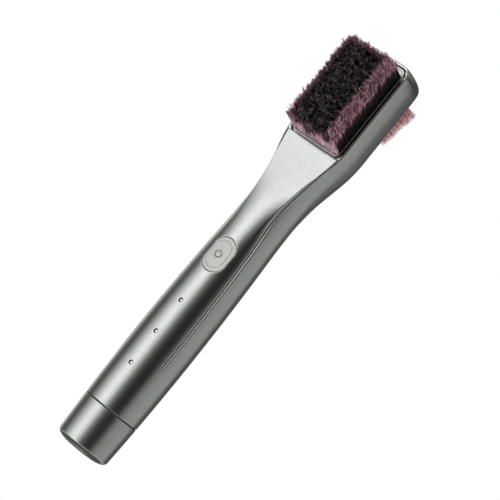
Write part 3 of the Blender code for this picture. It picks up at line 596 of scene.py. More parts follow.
def seam_inset(x, x_end, radius=0.22, run=0.0, drop=0.13):
    """Rounding of a shell's end towards the plane x = x_end, with a slight run-in."""
    d = radius - abs(x - x_end)
    slow = drop * max(1 - abs(x - x_end) / run, 0.0) ** 2 if run else 0.0
    return slow + (0.0 if d <= 0 else radius - math.sqrt(max(radius * radius - d * d, 0.0)))


def shell_stations(x0, x1):
    xs = [x0 + v for v in (0.0, 0.012, 0.045, 0.09, 0.15, 0.22, 0.32, 0.43, 0.55, 0.7, 0.85)]
    x = x0 + 1.2
    while x < x1 - 0.9 * STEP:
        xs.append(x)
        x += (0.8 if 148.0 < x < 200.0 else 1.3) * STEP
    return xs


def cover_ring(x):
    g, d, _, _ = groove(x)
    pts = outline(x)
    share = rim_share(x)
    s_corner = arc_at(pts, split_level(x) + g) - 1.35 * share
    n = 90
    outer, _ = resample(pts, [(s_corner - d) * math.sin(math.pi / 2 * i / n) for i in range(n + 1)])
    corner = resample(pts, [s_corner])[0][0]
    # the edge turns down into a short upright land
    y0, z0 = outer[-1]
    reach = mix(0.32, 0.9, share)
    y1 = mix(y0, corner[0], reach)
    z1 = mix(z0, corner[1], reach)
    low = corner[1] - 0.65 * share
    edge = bezier((y0, z0), (y1, z1), (y1, mix(z1, low, 0.55)), 7)[1:] + [(y1, mix(low, z1, 0.12)), (y1 - 0.06, low)]
    corner = (y1, low)
    f_in = front_height(x) - WALL - 1.6 * ease((x - 172.0) / 14.0)
    y_in = corner[0] - 1.9
    inner = []
    m = 26
    for i in range(m + 1):
        t = math.cos(math.pi / 2 * i / m)
        inner.append((y_in * t, math.sqrt(max(f_in ** 2 - (f_in ** 2 - low ** 2) * t * t, 0.0))))
    k = 1 - seam_inset(x, SEAM_X + 0.38, run=0.75) / 16.0
    drop = seam_inset(x, RECESS_X0, 0.3)
    half = [(y * k, z * k - drop) for y, z in outer + edge]
    right = half + inner                       # middle of the front -> edge -> wall -> inside middle
    left = [(-y, z) for y, z in right[1:-1]]
    return right + left[::-1]


def loft_solid(rings, xs, lean=None):
    verts = []
    for x, ring in zip(xs, rings):
        verts += [(x + (lean(x, z) if lean else 0.0), y, z) for y, z in ring]
    n = len(rings[0])
    faces = tube_faces(len(rings), n)
    faces.append(tuple(range(n)))
    faces.append(tuple(range(len(verts) - n, len(verts)))[::-1])
    return verts, faces


xs = shell_stations(SEAM_X + 0.38, RECESS_X0) + [RECESS_X0 - 0.3 * (1 - math.sin(math.radians(a))) for a in (0, 25, 50, 72, 90)]
verts, faces = loft_solid([cover_ring(x) for x in xs], xs)
front_cover = new_object("front_cover_shell", verts, faces, paint, "handle", ("front_cover",))


def obround(cx, length, width, n=24):
    r = width / 2
    d = length / 2 - r
    pts = []
    for c, a0 in ((cx + d, -90.0), (cx - d, 90.0)):
        for k in range(n + 1):
            a = math.radians(a0 + 180.0 * k / n)
            pts.append((c + r * math.cos(a), r * math.sin(a), math.cos(a), math.sin(a)))
    return pts


def circle(cx, radius, n=40):
    return [(cx + radius * math.cos(a), radius * math.sin(a), math.cos(a), math.sin(a))
            for a in (2 * math.pi * k / n for k in range(n))]


def rounded_rect(x0, x1, half, corner, n=10):
    pts = []
    for cx, cy, a0 in ((x1 - corner, half - corner, 0.0), (x0 + corner, half - corner, 90.0),
                       (x0 + corner, -half + corner, 180.0), (x1 - corner, -half + corner, 270.0)):
        for k in range(n + 1):
            a = math.radians(a0 + 90.0 * k / n)
            pts.append((cx + corner * math.cos(a), cy + corner * math.sin(a), math.cos(a), math.sin(a)))
    return pts


def flared_tool(name, path, height, z_end, radius, sign=1.0):
    """Cutter for a hole whose edge is rounded off into the surface z = height(x, y)."""
    rings = [[] for _ in range(12)]
    for x, y, nx, ny in path:
        a = (x + nx * radius, y + ny * radius)
        pa = (a[0], a[1], height(*a))
        pc = (x, y, height(x, y))
        pb = (x, y, pc[2] - sign * radius)
        slope = (pa[2] - pc[2]) / radius
        rim = [(pa[0] + nx * 0.7, pa[1] + ny * 0.7, pa[2] + slope * 0.7 + sign * 0.3)]
        column = [(x, y, z_end)] + bezier(pb, pc, pa, 9) + rim + [(rim[0][0], rim[0][1], pc[2] + sign * 3.0)]
        for r, p in zip(rings, column):
            r.append(p)
    verts = [p for r in rings for p in r]
    n = len(path)
    faces = tube_faces(len(rings), n)
    faces.append(tuple(range(n)))
    faces.append(tuple(range(len(verts) - n, len(verts)))[::-1])
    return tool_object(name, verts, faces)


tools = [flared_tool("button_hole", obround(BUTTON_X, SURROUND[0] + 0.5, SURROUND[1] + 0.5), front_z, 8.0, 0.42)]
tools += [flared_tool("led_hole_%d" % k, circle(x, 1.18), front_z, 9.0, 0.30) for k, x in enumerate(LED_X)]
carve(front_cover, tools)


RIM_EDGE, RIM_DROP = 0.80, 0.25


def rim_edge(x, pts):
    """Rounding of the head's rim, from its flat top into the wall."""
    a = resample(pts, [RIM_DROP])[0][0]
    yc, f = split_half(x), front_height(x)
    turn_at = (yc - 0.24, f - 0.24)
    return bezier((yc - RIM_EDGE, f), (yc - 0.62, f), turn_at, 5) + bezier(turn_at, (yc + 0.01, f - 0.40), a, 6)[1:]


def casing_half(x):
    """Right half of the casing's ring: outside from the rim to the middle of the back, then the inside."""
    pts = side_half(x)
    n = 78
    if x < RECESS_X0 + 0.12:
        pts = outline(x)
        g, _, d, proud = groove(x)
        share = rim_share(x)
        s_corner = arc_at(pts, split_level(x) - g) - 1.35 * share
        corner = resample(pts, [s_corner])[0][0]
        corner = (corner[0] + proud * (1 - share), corner[1])
        s0 = s_corner + mix(d, 0.30, share)
        a = resample(pts, [s0])[0][0]
        start = (corner[0] - 0.55 * d * (1 - share), corner[1] - 0.90 * share)
        edge = bezier(start, corner, a, 17)
        wall_top = (corner[0] - mix(2.2, 0.30, share), start[1])
    else:
        yc, f = split_half(x), front_height(x)
        zc = min(SPLIT_Z, f - 0.02)
        if x < RECESS_X0 + RECESS_R:
            y_in = RECESS_HALF - RECESS_R + math.sqrt(max(RECESS_R ** 2 - (RECESS_X0 + RECESS_R - x) ** 2, 0.0))
        elif x > RECESS_X1 - RECESS_R:
            y_in = RECESS_HALF - RECESS_R + math.sqrt(max(RECESS_R ** 2 - (x - RECESS_X1 + RECESS_R) ** 2, 0.0))
        else:
            y_in = RECESS_HALF
        inner_edge = bezier((y_in, f - 0.22), (y_in, f), (y_in + 0.22, f), 5)
        outer_edge = rim_edge(x, pts)
        flat = [(mix(y_in + 0.22, outer_edge[0][0], k / 3), f) for k in (1, 2)]
        edge = inner_edge + flat + outer_edge
        s0 = RIM_DROP
        wall_top = (y_in, 7.0)
    total = resample(pts, [0.0])[1]
    # closer together near the split plane and where the back turns in
    u = [i / n for i in range(1, n + 1)]
    body, _ = resample(pts, [s0 + (total - s0) * (0.5 * v + 0.5 * v * v) for v in u])
    body[-1] = (0.0, body[-1][1])
    k = 1 - seam_inset(x, SEAM_X + 0.38, run=0.75) / 16.0
    outer = [(y * k, z * k) for y, z in edge + body]
    m = 26
    if x < RECESS_X0 + 0.12:
        a, b, p, z0 = half_width(x) + belly(x) - WALL, back_depth(x) - WALL, back_power(x), BELLY_Z * head_share(x)
        b = mix(b, -FLOOR_Z, head_share(x))
        inner = []
        for i in range(m + 1):
            t = i / m
            if t < 0.3:
                s = 1 - t / 0.3
                y1 = wall_top[0]
                inner.append((math.sqrt(max(a * a - (a * a - y1 * y1) * s * s, 0.0)), z0 + (wall_top[1] - z0) * s))
            else:
                q = math.pi / 2 * (t - 0.3) / 0.7
                inner.append((a * max(math.cos(q), 0.0) ** (2 / p), z0 - (b + z0) * math.sin(q) ** (2 / p)))
        inner[-1] = (0.0, -b)
    else:
        half = 16.9 - 0.9 * ease((x - 252.0) / 7.0)
        half = min(half, y_in + 2.2)
        line = [wall_top, (half, 6.9), (half, FLOOR_Z + 0.8), (half - 0.8, FLOOR_Z), (0.0, FLOOR_Z)]
        total_in = resample(line, [0.0])[1]
        inner, _ = resample(line, [total_in * i / m for i in range(m + 1)])
        inner[0] = wall_top
    return outer, inner


def casing_ring(x):
    outer, inner = casing_half(x)
    left_outer = [(-y, z) for y, z in outer[:-1]][::-1]
    left_inner = [(-y, z) for y, z in inner[:-1]]
    return outer + left_outer + left_inner + inner[::-1], len(outer) * 2 - 1


STEP_X = RECESS_X0 + 0.15
xs = shell_stations(SEAM_X + 0.38, RECESS_X0) + [RECESS_X0, STEP_X - 0.04, STEP_X]
x = STEP_X
xs += [RECESS_X0 + RECESS_R * (1 - math.cos(math.radians(a))) for a in (24, 32, 40, 50, 60, 70, 80, 90)]
x = xs[-1] + 1.0
while x < LENGTH - HEAD_CORNER - 0.5:
    xs.append(x)
    x += 1.2 * STEP
far = [LENGTH - HEAD_CORNER + HEAD_CORNER * math.sin(math.radians(a)) for a in range(0, 91, 5)]
near_far = sorted(set(round(v, 4) for v in far + [RECESS_X1 - RECESS_R * (1 - math.sin(math.radians(a)))
                                                  for a in (60, 70, 78, 84, 88)] if v < RECESS_X1 - 0.01))
xs += near_far + [RECESS_X1]
rings, count = [], 0
for x in xs:
    ring, count = casing_ring(x)
    rings.append(ring)
verts = []
for x, ring in zip(xs, rings):
    verts += [(x + end_lean(x, z), y, z) for y, z in ring]
ring_n = len(rings[0])
faces = tube_faces(len(rings), ring_n)
faces.append(tuple(range(ring_n)))
# far wall: closed section from the end of the recess to the end of the head
last = len(verts) - ring_n
outer_ids = list(range(last, last + count))
inner_ids = list(range(last + count, last + ring_n))
TOP = 24
y_rim = rings[-1][0][0]
f_end = rings[-1][0][1] + 0.0
top_ids = []
for k in range(1, TOP):
    top_ids.append(len(verts))
    verts.append((RECESS_X1 + end_lean(RECESS_X1, f_end), mix(-y_rim, y_rim, k / TOP), f_end))
faces.append(tuple([outer_ids[0]] + inner_ids[::-1] + [outer_ids[-1]] + top_ids))
prev = outer_ids + top_ids
for x in [v for v in far if v > RECESS_X1 + 0.02]:
    ring, count2 = casing_ring(min(x, LENGTH))
    outer = ring[:count2]
    # beyond the recess the rim's inner rounding runs out into one flat top
    f = front_height(x)
    round_off = rim_edge(x, side_half(x))
    ye = round_off[0][0]
    keep = [(mix(y_rim, ye, k / 7) if ye > y_rim else mix(ye - 1.4, ye, k / 7), f) for k in range(7)]
    keep += round_off
    outer = keep + outer[17:count2 - 17] + [(-y, z) for y, z in keep[::-1]]
    ids = []
    for y, z in outer:
        ids.append(len(verts))
        verts.append((x + end_lean(x, z), y, z))
    y0 = outer[0][0]
    for k in range(1, TOP):
        ids.append(len(verts))
        verts.append((x + end_lean(x, f), mix(-y0, y0, k / TOP), f))
    for i in range(len(ids)):
        j = (i + 1) % len(ids)
        faces.append((prev[i], prev[j], ids[j], ids[i]))
    prev = ids
# end face, row by row from the front edge to the back
half_n = (count - 1) // 2
row_prev = [prev[count - 1]] + prev[count:] + [prev[0]]
for j in range(1, half_n + 1):
    r, l = prev[j], prev[count - 1 - j]
    if r == l:
        row = [r]
    else:
        yr, zr, xr = verts[r][1], verts[r][2], verts[r][0]
        row = [l]
        for k in range(1, TOP):
            row.append(len(verts))
            verts.append((xr, mix(-yr, yr, k / TOP), zr))
        row.append(r)
    if len(row) == 1:
        for k in range(TOP):
            faces.append((row_prev[k], row_prev[k + 1], row[0]))
    else:
        for k in range(TOP):
            faces.append((row_prev[k], row_prev[k + 1], row[k + 1], row[k]))
    row_prev = row
rear_casing = new_object("rear_casing_shell", verts, faces, paint, "handle", ("rear_casing",))


def back_z(x, y):
    a, b, n = half_width(x) + belly(x), back_depth(x), back_power(x)
    z0 = BELLY_Z * head_share(x)
    return z0 - (b + z0) * max(1 - (abs(y) / a) ** n, 0.0) ** (1 / n)


carve(rear_casing, [flared_tool("rear_pocket", rounded_rect(REAR_X0, REAR_X1, REAR_HALF, 4.0), back_z, REAR_FLOOR, 0.45,
                                sign=-1.0)])

# floor of the front recess, part of the front cover's moulding
outline = rounded_rect(RECESS_X0 + 0.3, RECESS_X1 - 0.3, RECESS_HALF - 0.25, RECESS_R - 0.3)


def disc_solid(outline_at, levels, z_bottom, bottom_inset=0.0):
    """Closed solid over nested outlines: levels are (inset, z function) from the outside to the middle."""
    verts, rings = [], []
    for inset, zf in [(bottom_inset, lambda x, y: z_bottom)] + levels:
        ring = []
        for x, y in outline_at(inset):
            ring.append(len(verts))
            verts.append((x, y, zf(x, y)))
        rings.append(ring)
    n = len(rings[0])
    faces = []
    for a, b in zip(rings[:-1], rings[1:]):
        for i in range(n):
            j = (i + 1) % n
            faces.append((a[i], a[j], b[j], b[i]))
    faces.append(tuple(rings[0]))
    faces.append(tuple(rings[-1]))
    return verts, faces


def rect_at(x0, x1, half, corner, n=8):
    def at(inset):
        return [(p[0], p[1]) for p in rounded_rect(x0 + inset, x1 - inset, half - inset, max(corner - inset, 0.15), n)]
    return at


def ring_at(cx, outer, inner, n=24):
    """Outline between two obrounds: 0 gives the outer one, 1 the inner one."""
    def at(s):
        return [(p[0], p[1]) for p in obround(cx, mix(outer[0], inner[0], s), mix(outer[1], inner[1], s), n)]
    return at


def obround_at(cx, length, width, n=24):
    def at(inset):
        return [(p[0], p[1]) for p in obround(cx, length - 2 * inset, max(width - 2 * inset, 0.02), n)]
    return at


def edge_levels(height, radius, n=7, sign=1.0):
    """Rounded edge up to the surface z = height(x, y)."""
    out = []
    for i in range(n + 1):
        a = math.pi / 2 * i / n
        ins = radius * (1 - math.cos(a))
        down = radius * (1 - math.sin(a))
        out.append((ins, (lambda d: lambda x, y: height(x, y) - sign * d)(down)))
    return out


verts, faces = disc_solid(rect_at(RECESS_X0 + 0.3, RECESS_X1 - 0.3, RECESS_HALF - 0.25, RECESS_R - 0.3),
                          edge_levels(lambda x, y: RECESS_FLOOR, 0.25) + [(2.0, lambda x, y: RECESS_FLOOR)], 7.3)
new_object("front_cover_floor", verts, faces, paint, "handle", ())

# ---------------------------------------------------------------- end cap
cap_out = [(barrel(SEAM_X - 0.15) - 0.0, SEAM_X - 0.47), (barrel(22.0), 22.0), (barrel(17.0), 17.0), (barrel(12.0), 12.0),
           (barrel(8.0), 8.0), (barrel(5.2), 5.2), (barrel(4.0) - 0.01, 4.0), (15.98, 3.4), (15.88, 2.95), (15.70, 2.55),
           (15.42, 2.15), (15.02, 1.7), (14.5, 1.25), (13.6, 0.82), (12.6, 0.45), (11.7, 0.2), (10.9, 0.06)]
profile = [(r, h) for r, h in smooth_profile(cap_out, 6)]
seam_r = barrel(SEAM_X)
lip = [(seam_r - 0.32 + 0.32 * math.cos(math.radians(a)), SEAM_X - 0.47 + 0.32 * math.sin(math.radians(a)))
       for a in (90, 72, 54, 36, 18)]
inside = [(0.0, 2.2), (4.0, 2.2), (8.0, 2.2), (11.6, 2.2), (12.6, 2.45), (13.4, 3.2), (barrel(6.0) - WALL, 6.0),
          (barrel(14.0) - WALL, 14.0), (barrel(20.0) - WALL, 20.0), (barrel(SEAM_X) - WALL, SEAM_X - 0.35),
          (barrel(SEAM_X) - WALL + 0.2, SEAM_X - 0.15)]
profile = inside + lip + profile + [(10.45, 0.0), (9.6, 0.0), (7.0, 0.0), (3.5, 0.0), (0.0, 0.0)]
SEG = 176


def revolve(profile, x0=0.0, squash=FLAT, seg=SEG, z_axis=0.0):
    verts, faces, rows = [], [], []
    for r, h in profile:
        if r < 1e-6:
            rows.append([len(verts)])
            verts.append((x0 + h, 0.0, z_axis))
        else:
            rows.append(list(range(len(verts), len(verts) + seg)))
            for k in range(seg):
                a = 2 * math.pi * k / seg
                verts.append((x0 + h, r * math.cos(a), z_axis + squash * r * math.sin(a)))
    for a, b in zip(rows[:-1], rows[1:]):
        for k in range(seg):
            j = (k + 1) % seg
            if len(a) == 1 and len(b) == 1:
                continue
            if len(a) == 1:
                faces.append((a[0], b[j], b[k]))
            elif len(b) == 1:
                faces.append((a[k], a[j], b[0]))
            else:
                faces.append((a[k], a[j], b[j], b[k]))
    return verts, faces


verts, faces = revolve(profile)
new_object("end_cap_shell", verts, faces, paint_cap, "cap", ("end_cap",))

# black rubber ring that fills the seam behind the cap: partly a seal, partly a dark body standing in for the shade deep
# in the seam, painted shade
gasket = [(seam_r - 1.7, SEAM_X - 0.06), (seam_r - 0.50, SEAM_X - 0.10), (seam_r - 0.38, SEAM_X - 0.04),
          (seam_r - 0.34, SEAM_X + 0.10), (seam_r - 0.38, SEAM_X + 0.24), (seam_r - 0.50, SEAM_X + 0.32),
          (seam_r - 1.7, SEAM_X + 0.32)]
rows = []
verts = []
for r, h in gasket:
    rows.append(list(range(len(verts), len(verts) + SEG)))
    verts += [(h, r * math.cos(2 * math.pi * k / SEG), FLAT * r * math.sin(2 * math.pi * k / SEG)) for k in range(SEG)]
faces = tube_faces(len(gasket), SEG, closed_path=True)
new_object("cap_seal_and_seam_shade", verts, faces, rubber, "handle", ())

# ---------------------------------------------------------------- button
CENTRE_D = (SURROUND[0] - SURROUND[1]) / 2


def plan_depth(x, y, length, width):
    """Distance inside an obround's outline."""
    d = length / 2 - width / 2
    dx = max(abs(x - BUTTON_X) - d, 0.0)
    return width / 2 - math.hypot(dx, y)


def surround_top(x, y):
    a, b = plan_depth(x, y, *SURROUND), -plan_depth(x, y, KEY[0] + 0.6, KEY[1] + 0.6)
    t = max(a, 0.0) / (max(a, 0.0) + max(b, 0.0) + 1e-6)
    return front_z(x, y) + 0.26 + 0.16 * math.sin(math.pi * min(max(t, 0.0), 1.0))


n_sec = 20
verts = []
path_n = None
rings = []
RO, RI = 0.42, 0.20
WIDTH = (SURROUND[1] - KEY[1]) / 2 - 0.3
surround_ring = ring_at(BUTTON_X, SURROUND, (KEY[0] + 0.6, KEY[1] + 0.6))
for i in range(n_sec + 1):
    if i <= 7:
        a = math.pi / 2 * i / 7
        ins, down = RO * (1 - math.cos(a)), RO * (1 - math.sin(a))
    elif i <= 13:
        ins, down = mix(RO, WIDTH - RI, (i - 7) / 6), 0.0
    else:
        a = math.pi / 2 * (i - 13) / 7
        ins, down = WIDTH - RI + RI * math.sin(a), RI * (1 - math.cos(a))
    ring = [(x, y, surround_top(x, y) - down) for x, y in surround_ring(ins / WIDTH)]
    rings.append(ring)
lip = 1.10                                         # shallow step beside the key
rings.append([(x, y, surround_top(x, y) - 0.24) for x, y in surround_ring(1.015)])
rings.append([(x, y, surround_top(x, y) - 0.26) for x, y in surround_ring(lip)])
rings.append([(x, y, 12.5) for x, y in surround_ring(lip)])
rings.append([(x, y, 12.5) for x, y in surround_ring(0.0)])
verts = [p for r in rings for p in r]
faces = tube_faces(len(rings), len(rings[0]), closed_path=True)
new_object("button_surround_soft", verts, faces, silicone, "handle", ("button_surround",))


def key_top(x, y):
    t = plan_depth(x, y, *KEY) / (KEY[1] / 2)
    return front_z(x, y * 0.85) + 0.48 - 0.10 * math.cos(math.pi * min(max(t, 0.0), 1.0) * 0.8)


levels = edge_levels(key_top, 0.30, 8) + [(d, key_top) for d in (0.8, 1.2, 1.7, 2.2, 2.8, 3.4, 4.0, 4.5, 4.84)]
verts, faces = disc_solid(obround_at(BUTTON_X, KEY[0] + 0.14, KEY[1] + 0.14), levels, 12.95)
new_object("power_button_key", verts, faces, silicone_key, "button", ("power_button",))


def ribbon(path, half, rise, sink=0.12):
    """Flat raised line along a path of (x, y), with rounded ends, lying on the key."""
    section = [(-1.0, -sink), (-1.0, rise * 0.55), (-0.8, rise), (0.0, rise * 1.1), (0.8, rise), (1.0, rise * 0.55), (1.0, -sink)]
    verts, faces = [], []
    n = len(path)
    for i, (x, y) in enumerate(path):
        x0, y0 = path[max(i - 1, 0)]
        x1, y1 = path[min(i + 1, n - 1)]
        l = math.hypot(x1 - x0, y1 - y0)
        nx, ny = -(y1 - y0) / l, (x1 - x0) / l
        end = min(i, n - 1 - i)
        k = (0.45, 0.8, 0.95)[end] if end < 3 else 1.0
        for s, h in section:
            px, py = x + nx * half * s * k, y + ny * half * s * k
            verts.append((px, py, key_top(px, py) + h))
    faces = tube_faces(n, len(section))
    faces.append(tuple(range(len(section))))
    faces.append(tuple(range(len(verts) - len(section), len(verts)))[::-1])
    return verts, faces


arc = [(BUTTON_X + 1.95 * math.cos(math.radians(a)), 1.95 * math.sin(math.radians(a))) for a in np.linspace(40, 320, 60)]
bar = [(BUTTON_X + d, 0.0) for d in np.concatenate([[0.55, 0.6, 0.68], np.linspace(0.78, 2.25, 8), [2.35, 2.42, 2.47]])]
verts, faces = ribbon(arc, 0.30, 0.045)
v2, f2 = ribbon(bar, 0.30, 0.045)
faces += [tuple(i + len(verts) for i in f) for f in f2]
verts += v2
new_object("power_symbol", verts, faces, symbol_grey, "button", ())

# ---------------------------------------------------------------- light windows
for k, x in enumerate(LED_X):
    top = front_height(x) - 0.72
    prof = [(0.0, 10.85), (0.5, 10.85), (0.55, 10.9), (0.55, top - 1.4), (0.82, top - 1.2), (0.82, top - 0.30)] + \
           [(0.52 + 0.30 * math.cos(math.radians(a)), top - 0.30 + 0.30 * math.sin(math.radians(a))) for a in (15, 30, 45, 60, 75)] + \
           [(0.0, top)]
    verts, faces, rows = [], [], []
    seg = 28
    for r, h in prof:
        if r < 1e-6:
            rows.append([len(verts)])
            verts.append((x, 0.0, h))
        else:
            rows.append(list(range(len(verts), len(verts) + seg)))
            verts += [(x + r * math.cos(2 * math.pi * j / seg), r * math.sin(2 * math.pi * j / seg), h) for j in range(seg)]
    for a, b in zip(rows[:-1], rows[1:]):
        for j in range(seg):
            q = (j + 1) % seg
            if len(a) == 1:
                faces.append((a[0], b[j], b[q]))
            elif len(b) == 1:
                faces.append((a[j], a[q], b[0]))
            else:
                faces.append((a[j], a[q], b[q], b[j]))
    new_object("light_lens_%d" % (k + 1), verts, faces, lens, "handle", ("light_window_%d" % (k + 1),))

# ---------------------------------------------------------------- brush plates
PLATE_X0, PLATE_X1, PLATE_HALF = RECESS_X0 + 0.6, RECESS_X1 - 0.6, 16.6
flat_top = lambda x, y: HEAD_TOP - 0.02
levels = edge_levels(flat_top, 0.40, 7) + [(0.80, flat_top), (0.95, lambda x, y: HEAD_TOP - 0.08),
                                           (1.02, lambda x, y: HEAD_TOP - 0.40), (1.30, lambda x, y: HEAD_TOP - 0.40),
                                           (1.38, lambda x, y: HEAD_TOP - 0.10), (1.55, lambda x, y: HEAD_TOP - 0.04),
                                           (3.0, lambda x, y: HEAD_TOP - 0.04)]
verts, faces = disc_solid(rect_at(PLATE_X0, PLATE_X1, PLATE_HALF, 3.0, 12), levels, RECESS_FLOOR + 0.3, 0.0)
new_object("front_brush_base", verts, faces, plate_grey, "front_brush", ("front_brush_plate",))

rear_top = lambda x, y: -HEAD_BACK - 0.1
levels = edge_levels(rear_top, 0.45, 7, sign=-1.0) + [(1.0, rear_top), (3.0, rear_top)]
verts, faces = disc_solid(rect_at(REAR_X0 + 0.5, REAR_X1 - 0.5, 13.7, 3.4, 12), levels, REAR_FLOOR - 0.3, 0.0)
new_object("rear_brush_base", verts, faces, plate_grey, "rear_brush", ("rear_brush_plate",))


# ---------------------------------------------------------------- brush hair
def strand_mesh(name, centre, radius, lot, mat, body, replaces=(), sides=3):
    """Thin tapered strands as closed tubes. centre: (n, s, 3) in mm, radius: (s,), lot: (n,) in 0..1."""
    n, s, _ = centre.shape
    tangent = np.gradient(centre, axis=1)
    tangent /= np.linalg.norm(tangent, axis=2, keepdims=True)
    ref = np.array([0.31, 0.93, 0.19])
    u = np.cross(tangent, ref)
    u /= np.linalg.norm(u, axis=2, keepdims=True)
    v = np.cross(tangent, u)
    ang = 2 * math.pi * np.arange(sides) / sides
    spin = lot[:, None, None, None] * 7.0
    c = np.cos(ang[None, None, :, None] + spin)
    d = np.sin(ang[None, None, :, None] + spin)
    pts = centre[:, :, None, :] + radius[None, :, None, None] * (c * u[:, :, None, :] + d * v[:, :, None, :])
    verts = pts.reshape(-1, 3) @ PLACE_NP[:3, :3].T + PLACE_NP[:3, 3]
    base = (np.arange(n) * s * sides)[:, None, None]
    ring = (np.arange(s - 1) * sides)[None, :, None]
    i = np.arange(sides)[None, None, :]
    j = (i + 1) % sides
    a, b = base + ring + i, base + ring + j
    quads = np.stack([a, b, b + sides, a + sides], axis=-1).reshape(-1, 4)
    low = (np.arange(n) * s * sides)[:, None] + np.arange(sides)[None, ::-1]
    high = (np.arange(n) * s * sides + (s - 1) * sides)[:, None] + np.arange(sides)[None, :]
    loops = np.concatenate([quads.ravel(), low.ravel(), high.ravel()]).astype(np.int32)
    totals = np.concatenate([np.full(len(quads), 4), np.full(2 * n, sides)]).astype(np.int32)
    starts = np.concatenate([[0], np.cumsum(totals)[:-1]]).astype(np.int32)
    me = bpy.data.meshes.new(name)
    me.vertices.add(len(verts))
    me.vertices.foreach_set("co", verts.astype(np.float32).ravel())
    me.loops.add(len(loops))
    me.loops.foreach_set("vertex_index", loops)
    me.polygons.add(len(totals))
    me.polygons.foreach_set("loop_start", starts)
    me.update(calc_edges=True)
    me.validate()
    at = me.attributes.new("along", "FLOAT", "POINT")
    at.data.foreach_set("value", np.tile(np.repeat(np.linspace(0, 1, s), sides), n).astype(np.float32))
    at = me.attributes.new("lot", "FLOAT", "POINT")
    at.data.foreach_set("value", np.repeat(lot, s * sides).astype(np.float32))
    ob = bpy.data.objects.new(name, me)
    bpy.context.scene.collection.objects.link(ob)
    finish_object(ob, mat, body, replaces, sharp=None)
    return ob


def grow(rng, roots, tips, steps, bow, curl, curl_turns, curl_from=0.35, group=None):
    """Centre lines from roots to tips: a slight bow, and a curl that grows towards the tip.

    Strands of one group curl together, as a lock does."""
    n = len(roots)
    group = np.arange(n) if group is None else group
    g = int(group.max()) + 1
    t = np.linspace(0, 1, steps)[None, :, None]
    line = roots[:, None, :] + (tips - roots)[:, None, :] * t
    # strands leave the base upright and lean out later
    upright = roots.copy()
    upright[:, 2] = tips[:, 2]
    lean = (tips - upright)[:, None, :] * (t ** 1.6 - t)
    side = (rng.normal(size=(g, 3))[group] + 0.3 * rng.normal(size=(n, 3))) * np.array([1.0, 1.0, 0.0])
    side /= np.linalg.norm(side, axis=1, keepdims=True) + 1e-9
    bowed = side[:, None, :] * (np.sin(math.pi * t) * bow * rng.uniform(0.2, 1.0, (n, 1, 1)))
    k = np.clip((t - curl_from) / (1 - curl_from), 0, 1)
    phase = rng.uniform(0, 2 * math.pi, g)[group][:, None, None] + rng.normal(0, 0.4, (n, 1, 1))
    turns = curl_turns * rng.uniform(0.6, 1.4, g)[group][:, None, None]
    amp = curl * rng.uniform(0.35, 1.3, g)[group][:, None, None] * rng.uniform(0.75, 1.25, (n, 1, 1))
    a = phase + 2 * math.pi * turns * k
    swirl = np.concatenate([np.cos(a), np.sin(a), 0.35 * np.sin(2 * a)], axis=2) * amp * k ** 1.3
    return line + lean + bowed + swirl


def locks(rng, nx, ny, x0, x1, y0, y1, per, radius):
    """Root points of nx × ny locks of `per` strands over a rectangle, each lock a little off its place."""
    gx, gy = np.meshgrid(np.linspace(x0, x1, nx), np.linspace(y0, y1, ny), indexing="ij")
    c = np.stack([gx.ravel(), gy.ravel()], axis=1)
    c += rng.normal(0, 0.28, c.shape) * np.array([(x1 - x0) / max(nx - 1, 1), (y1 - y0) / max(ny - 1, 1)])
    group = np.repeat(np.arange(len(c)), per)
    r = radius * np.sqrt(rng.uniform(0, 1, len(group)))
    a = rng.uniform(0, 2 * math.pi, len(group))
    return c[group] + np.stack([r * np.cos(a), r * np.sin(a)], axis=1), group, len(c)


def halves(name, centre, taper, lot, mat, body, first):
    """Strands shared out at random between two pieces."""
    order = np.random.default_rng(len(centre)).permutation(len(centre))
    half = len(centre) // 2
    strand_mesh(name, centre[order[:half]], taper, lot[order[:half]], mat, body, first)
    strand_mesh(name + "_2", centre[order[half:]], taper, lot[order[half:]], mat, body, ())


def front_top(x, y):
    """Height of the front hair's tips over the plan: crowned, with a rounded shoulder."""
    ex = np.clip(1 - np.minimum(x - 202.0, 257.0 - x) / 7.0, 0, 1)
    ey = np.clip(1 - (16.0 - np.abs(y)) / 5.5, 0, 1)
    e = np.clip(np.sqrt(ex ** 2 + ey ** 2), 0, 1)
    return 29.2 - 4.4 * e ** 2


rng = np.random.default_rng(11)
steps = 7
FEW = 1.0
taper = np.array([0.125, 0.13, 0.13, 0.125, 0.115, 0.095, 0.05])
fine = taper * 0.82
ROOT_Z = HEAD_TOP - 0.4

# black middle: curly locks
root, group, n_g = locks(rng, 42, 23, 202.6, 252.0, -12.4, 12.2, int(6 * FEW) + 1, 0.42)
n = len(root)
lift = rng.normal(-0.2, 0.85, n_g)[group]
tip_x = 203.5 + (root[:, 0] - 202.4) * 1.01 + rng.normal(0, 0.45, n_g)[group] + rng.normal(0, 0.22, n)
tip_y = root[:, 1] * 1.07 + rng.normal(0, 0.45, n_g)[group] + rng.normal(0, 0.22, n)
tip_z = np.minimum(front_top(tip_x, tip_y) - 0.25 + lift + rng.normal(0, 0.2, n), FRONT_TIP)
roots = np.column_stack([root, np.full(n, ROOT_Z)])
centre = grow(rng, roots, np.column_stack([tip_x, tip_y, tip_z]), steps + 3, 0.4, 1.0, 1.7, 0.42, group)
lot = np.clip(0.8 * rng.uniform(0, 1, n_g)[group] + 0.2 * rng.uniform(0, 1, n), 0, 1)
centre[:, :, 2] = np.minimum(centre[:, :, 2], FRONT_TIP)
thick = np.interp(np.linspace(0, 1, steps + 3), np.linspace(0, 1, steps), taper * 1.30)
halves("front_bristles_black", centre, thick, lot, black_hair, "front_brush", ("front_bristles",))


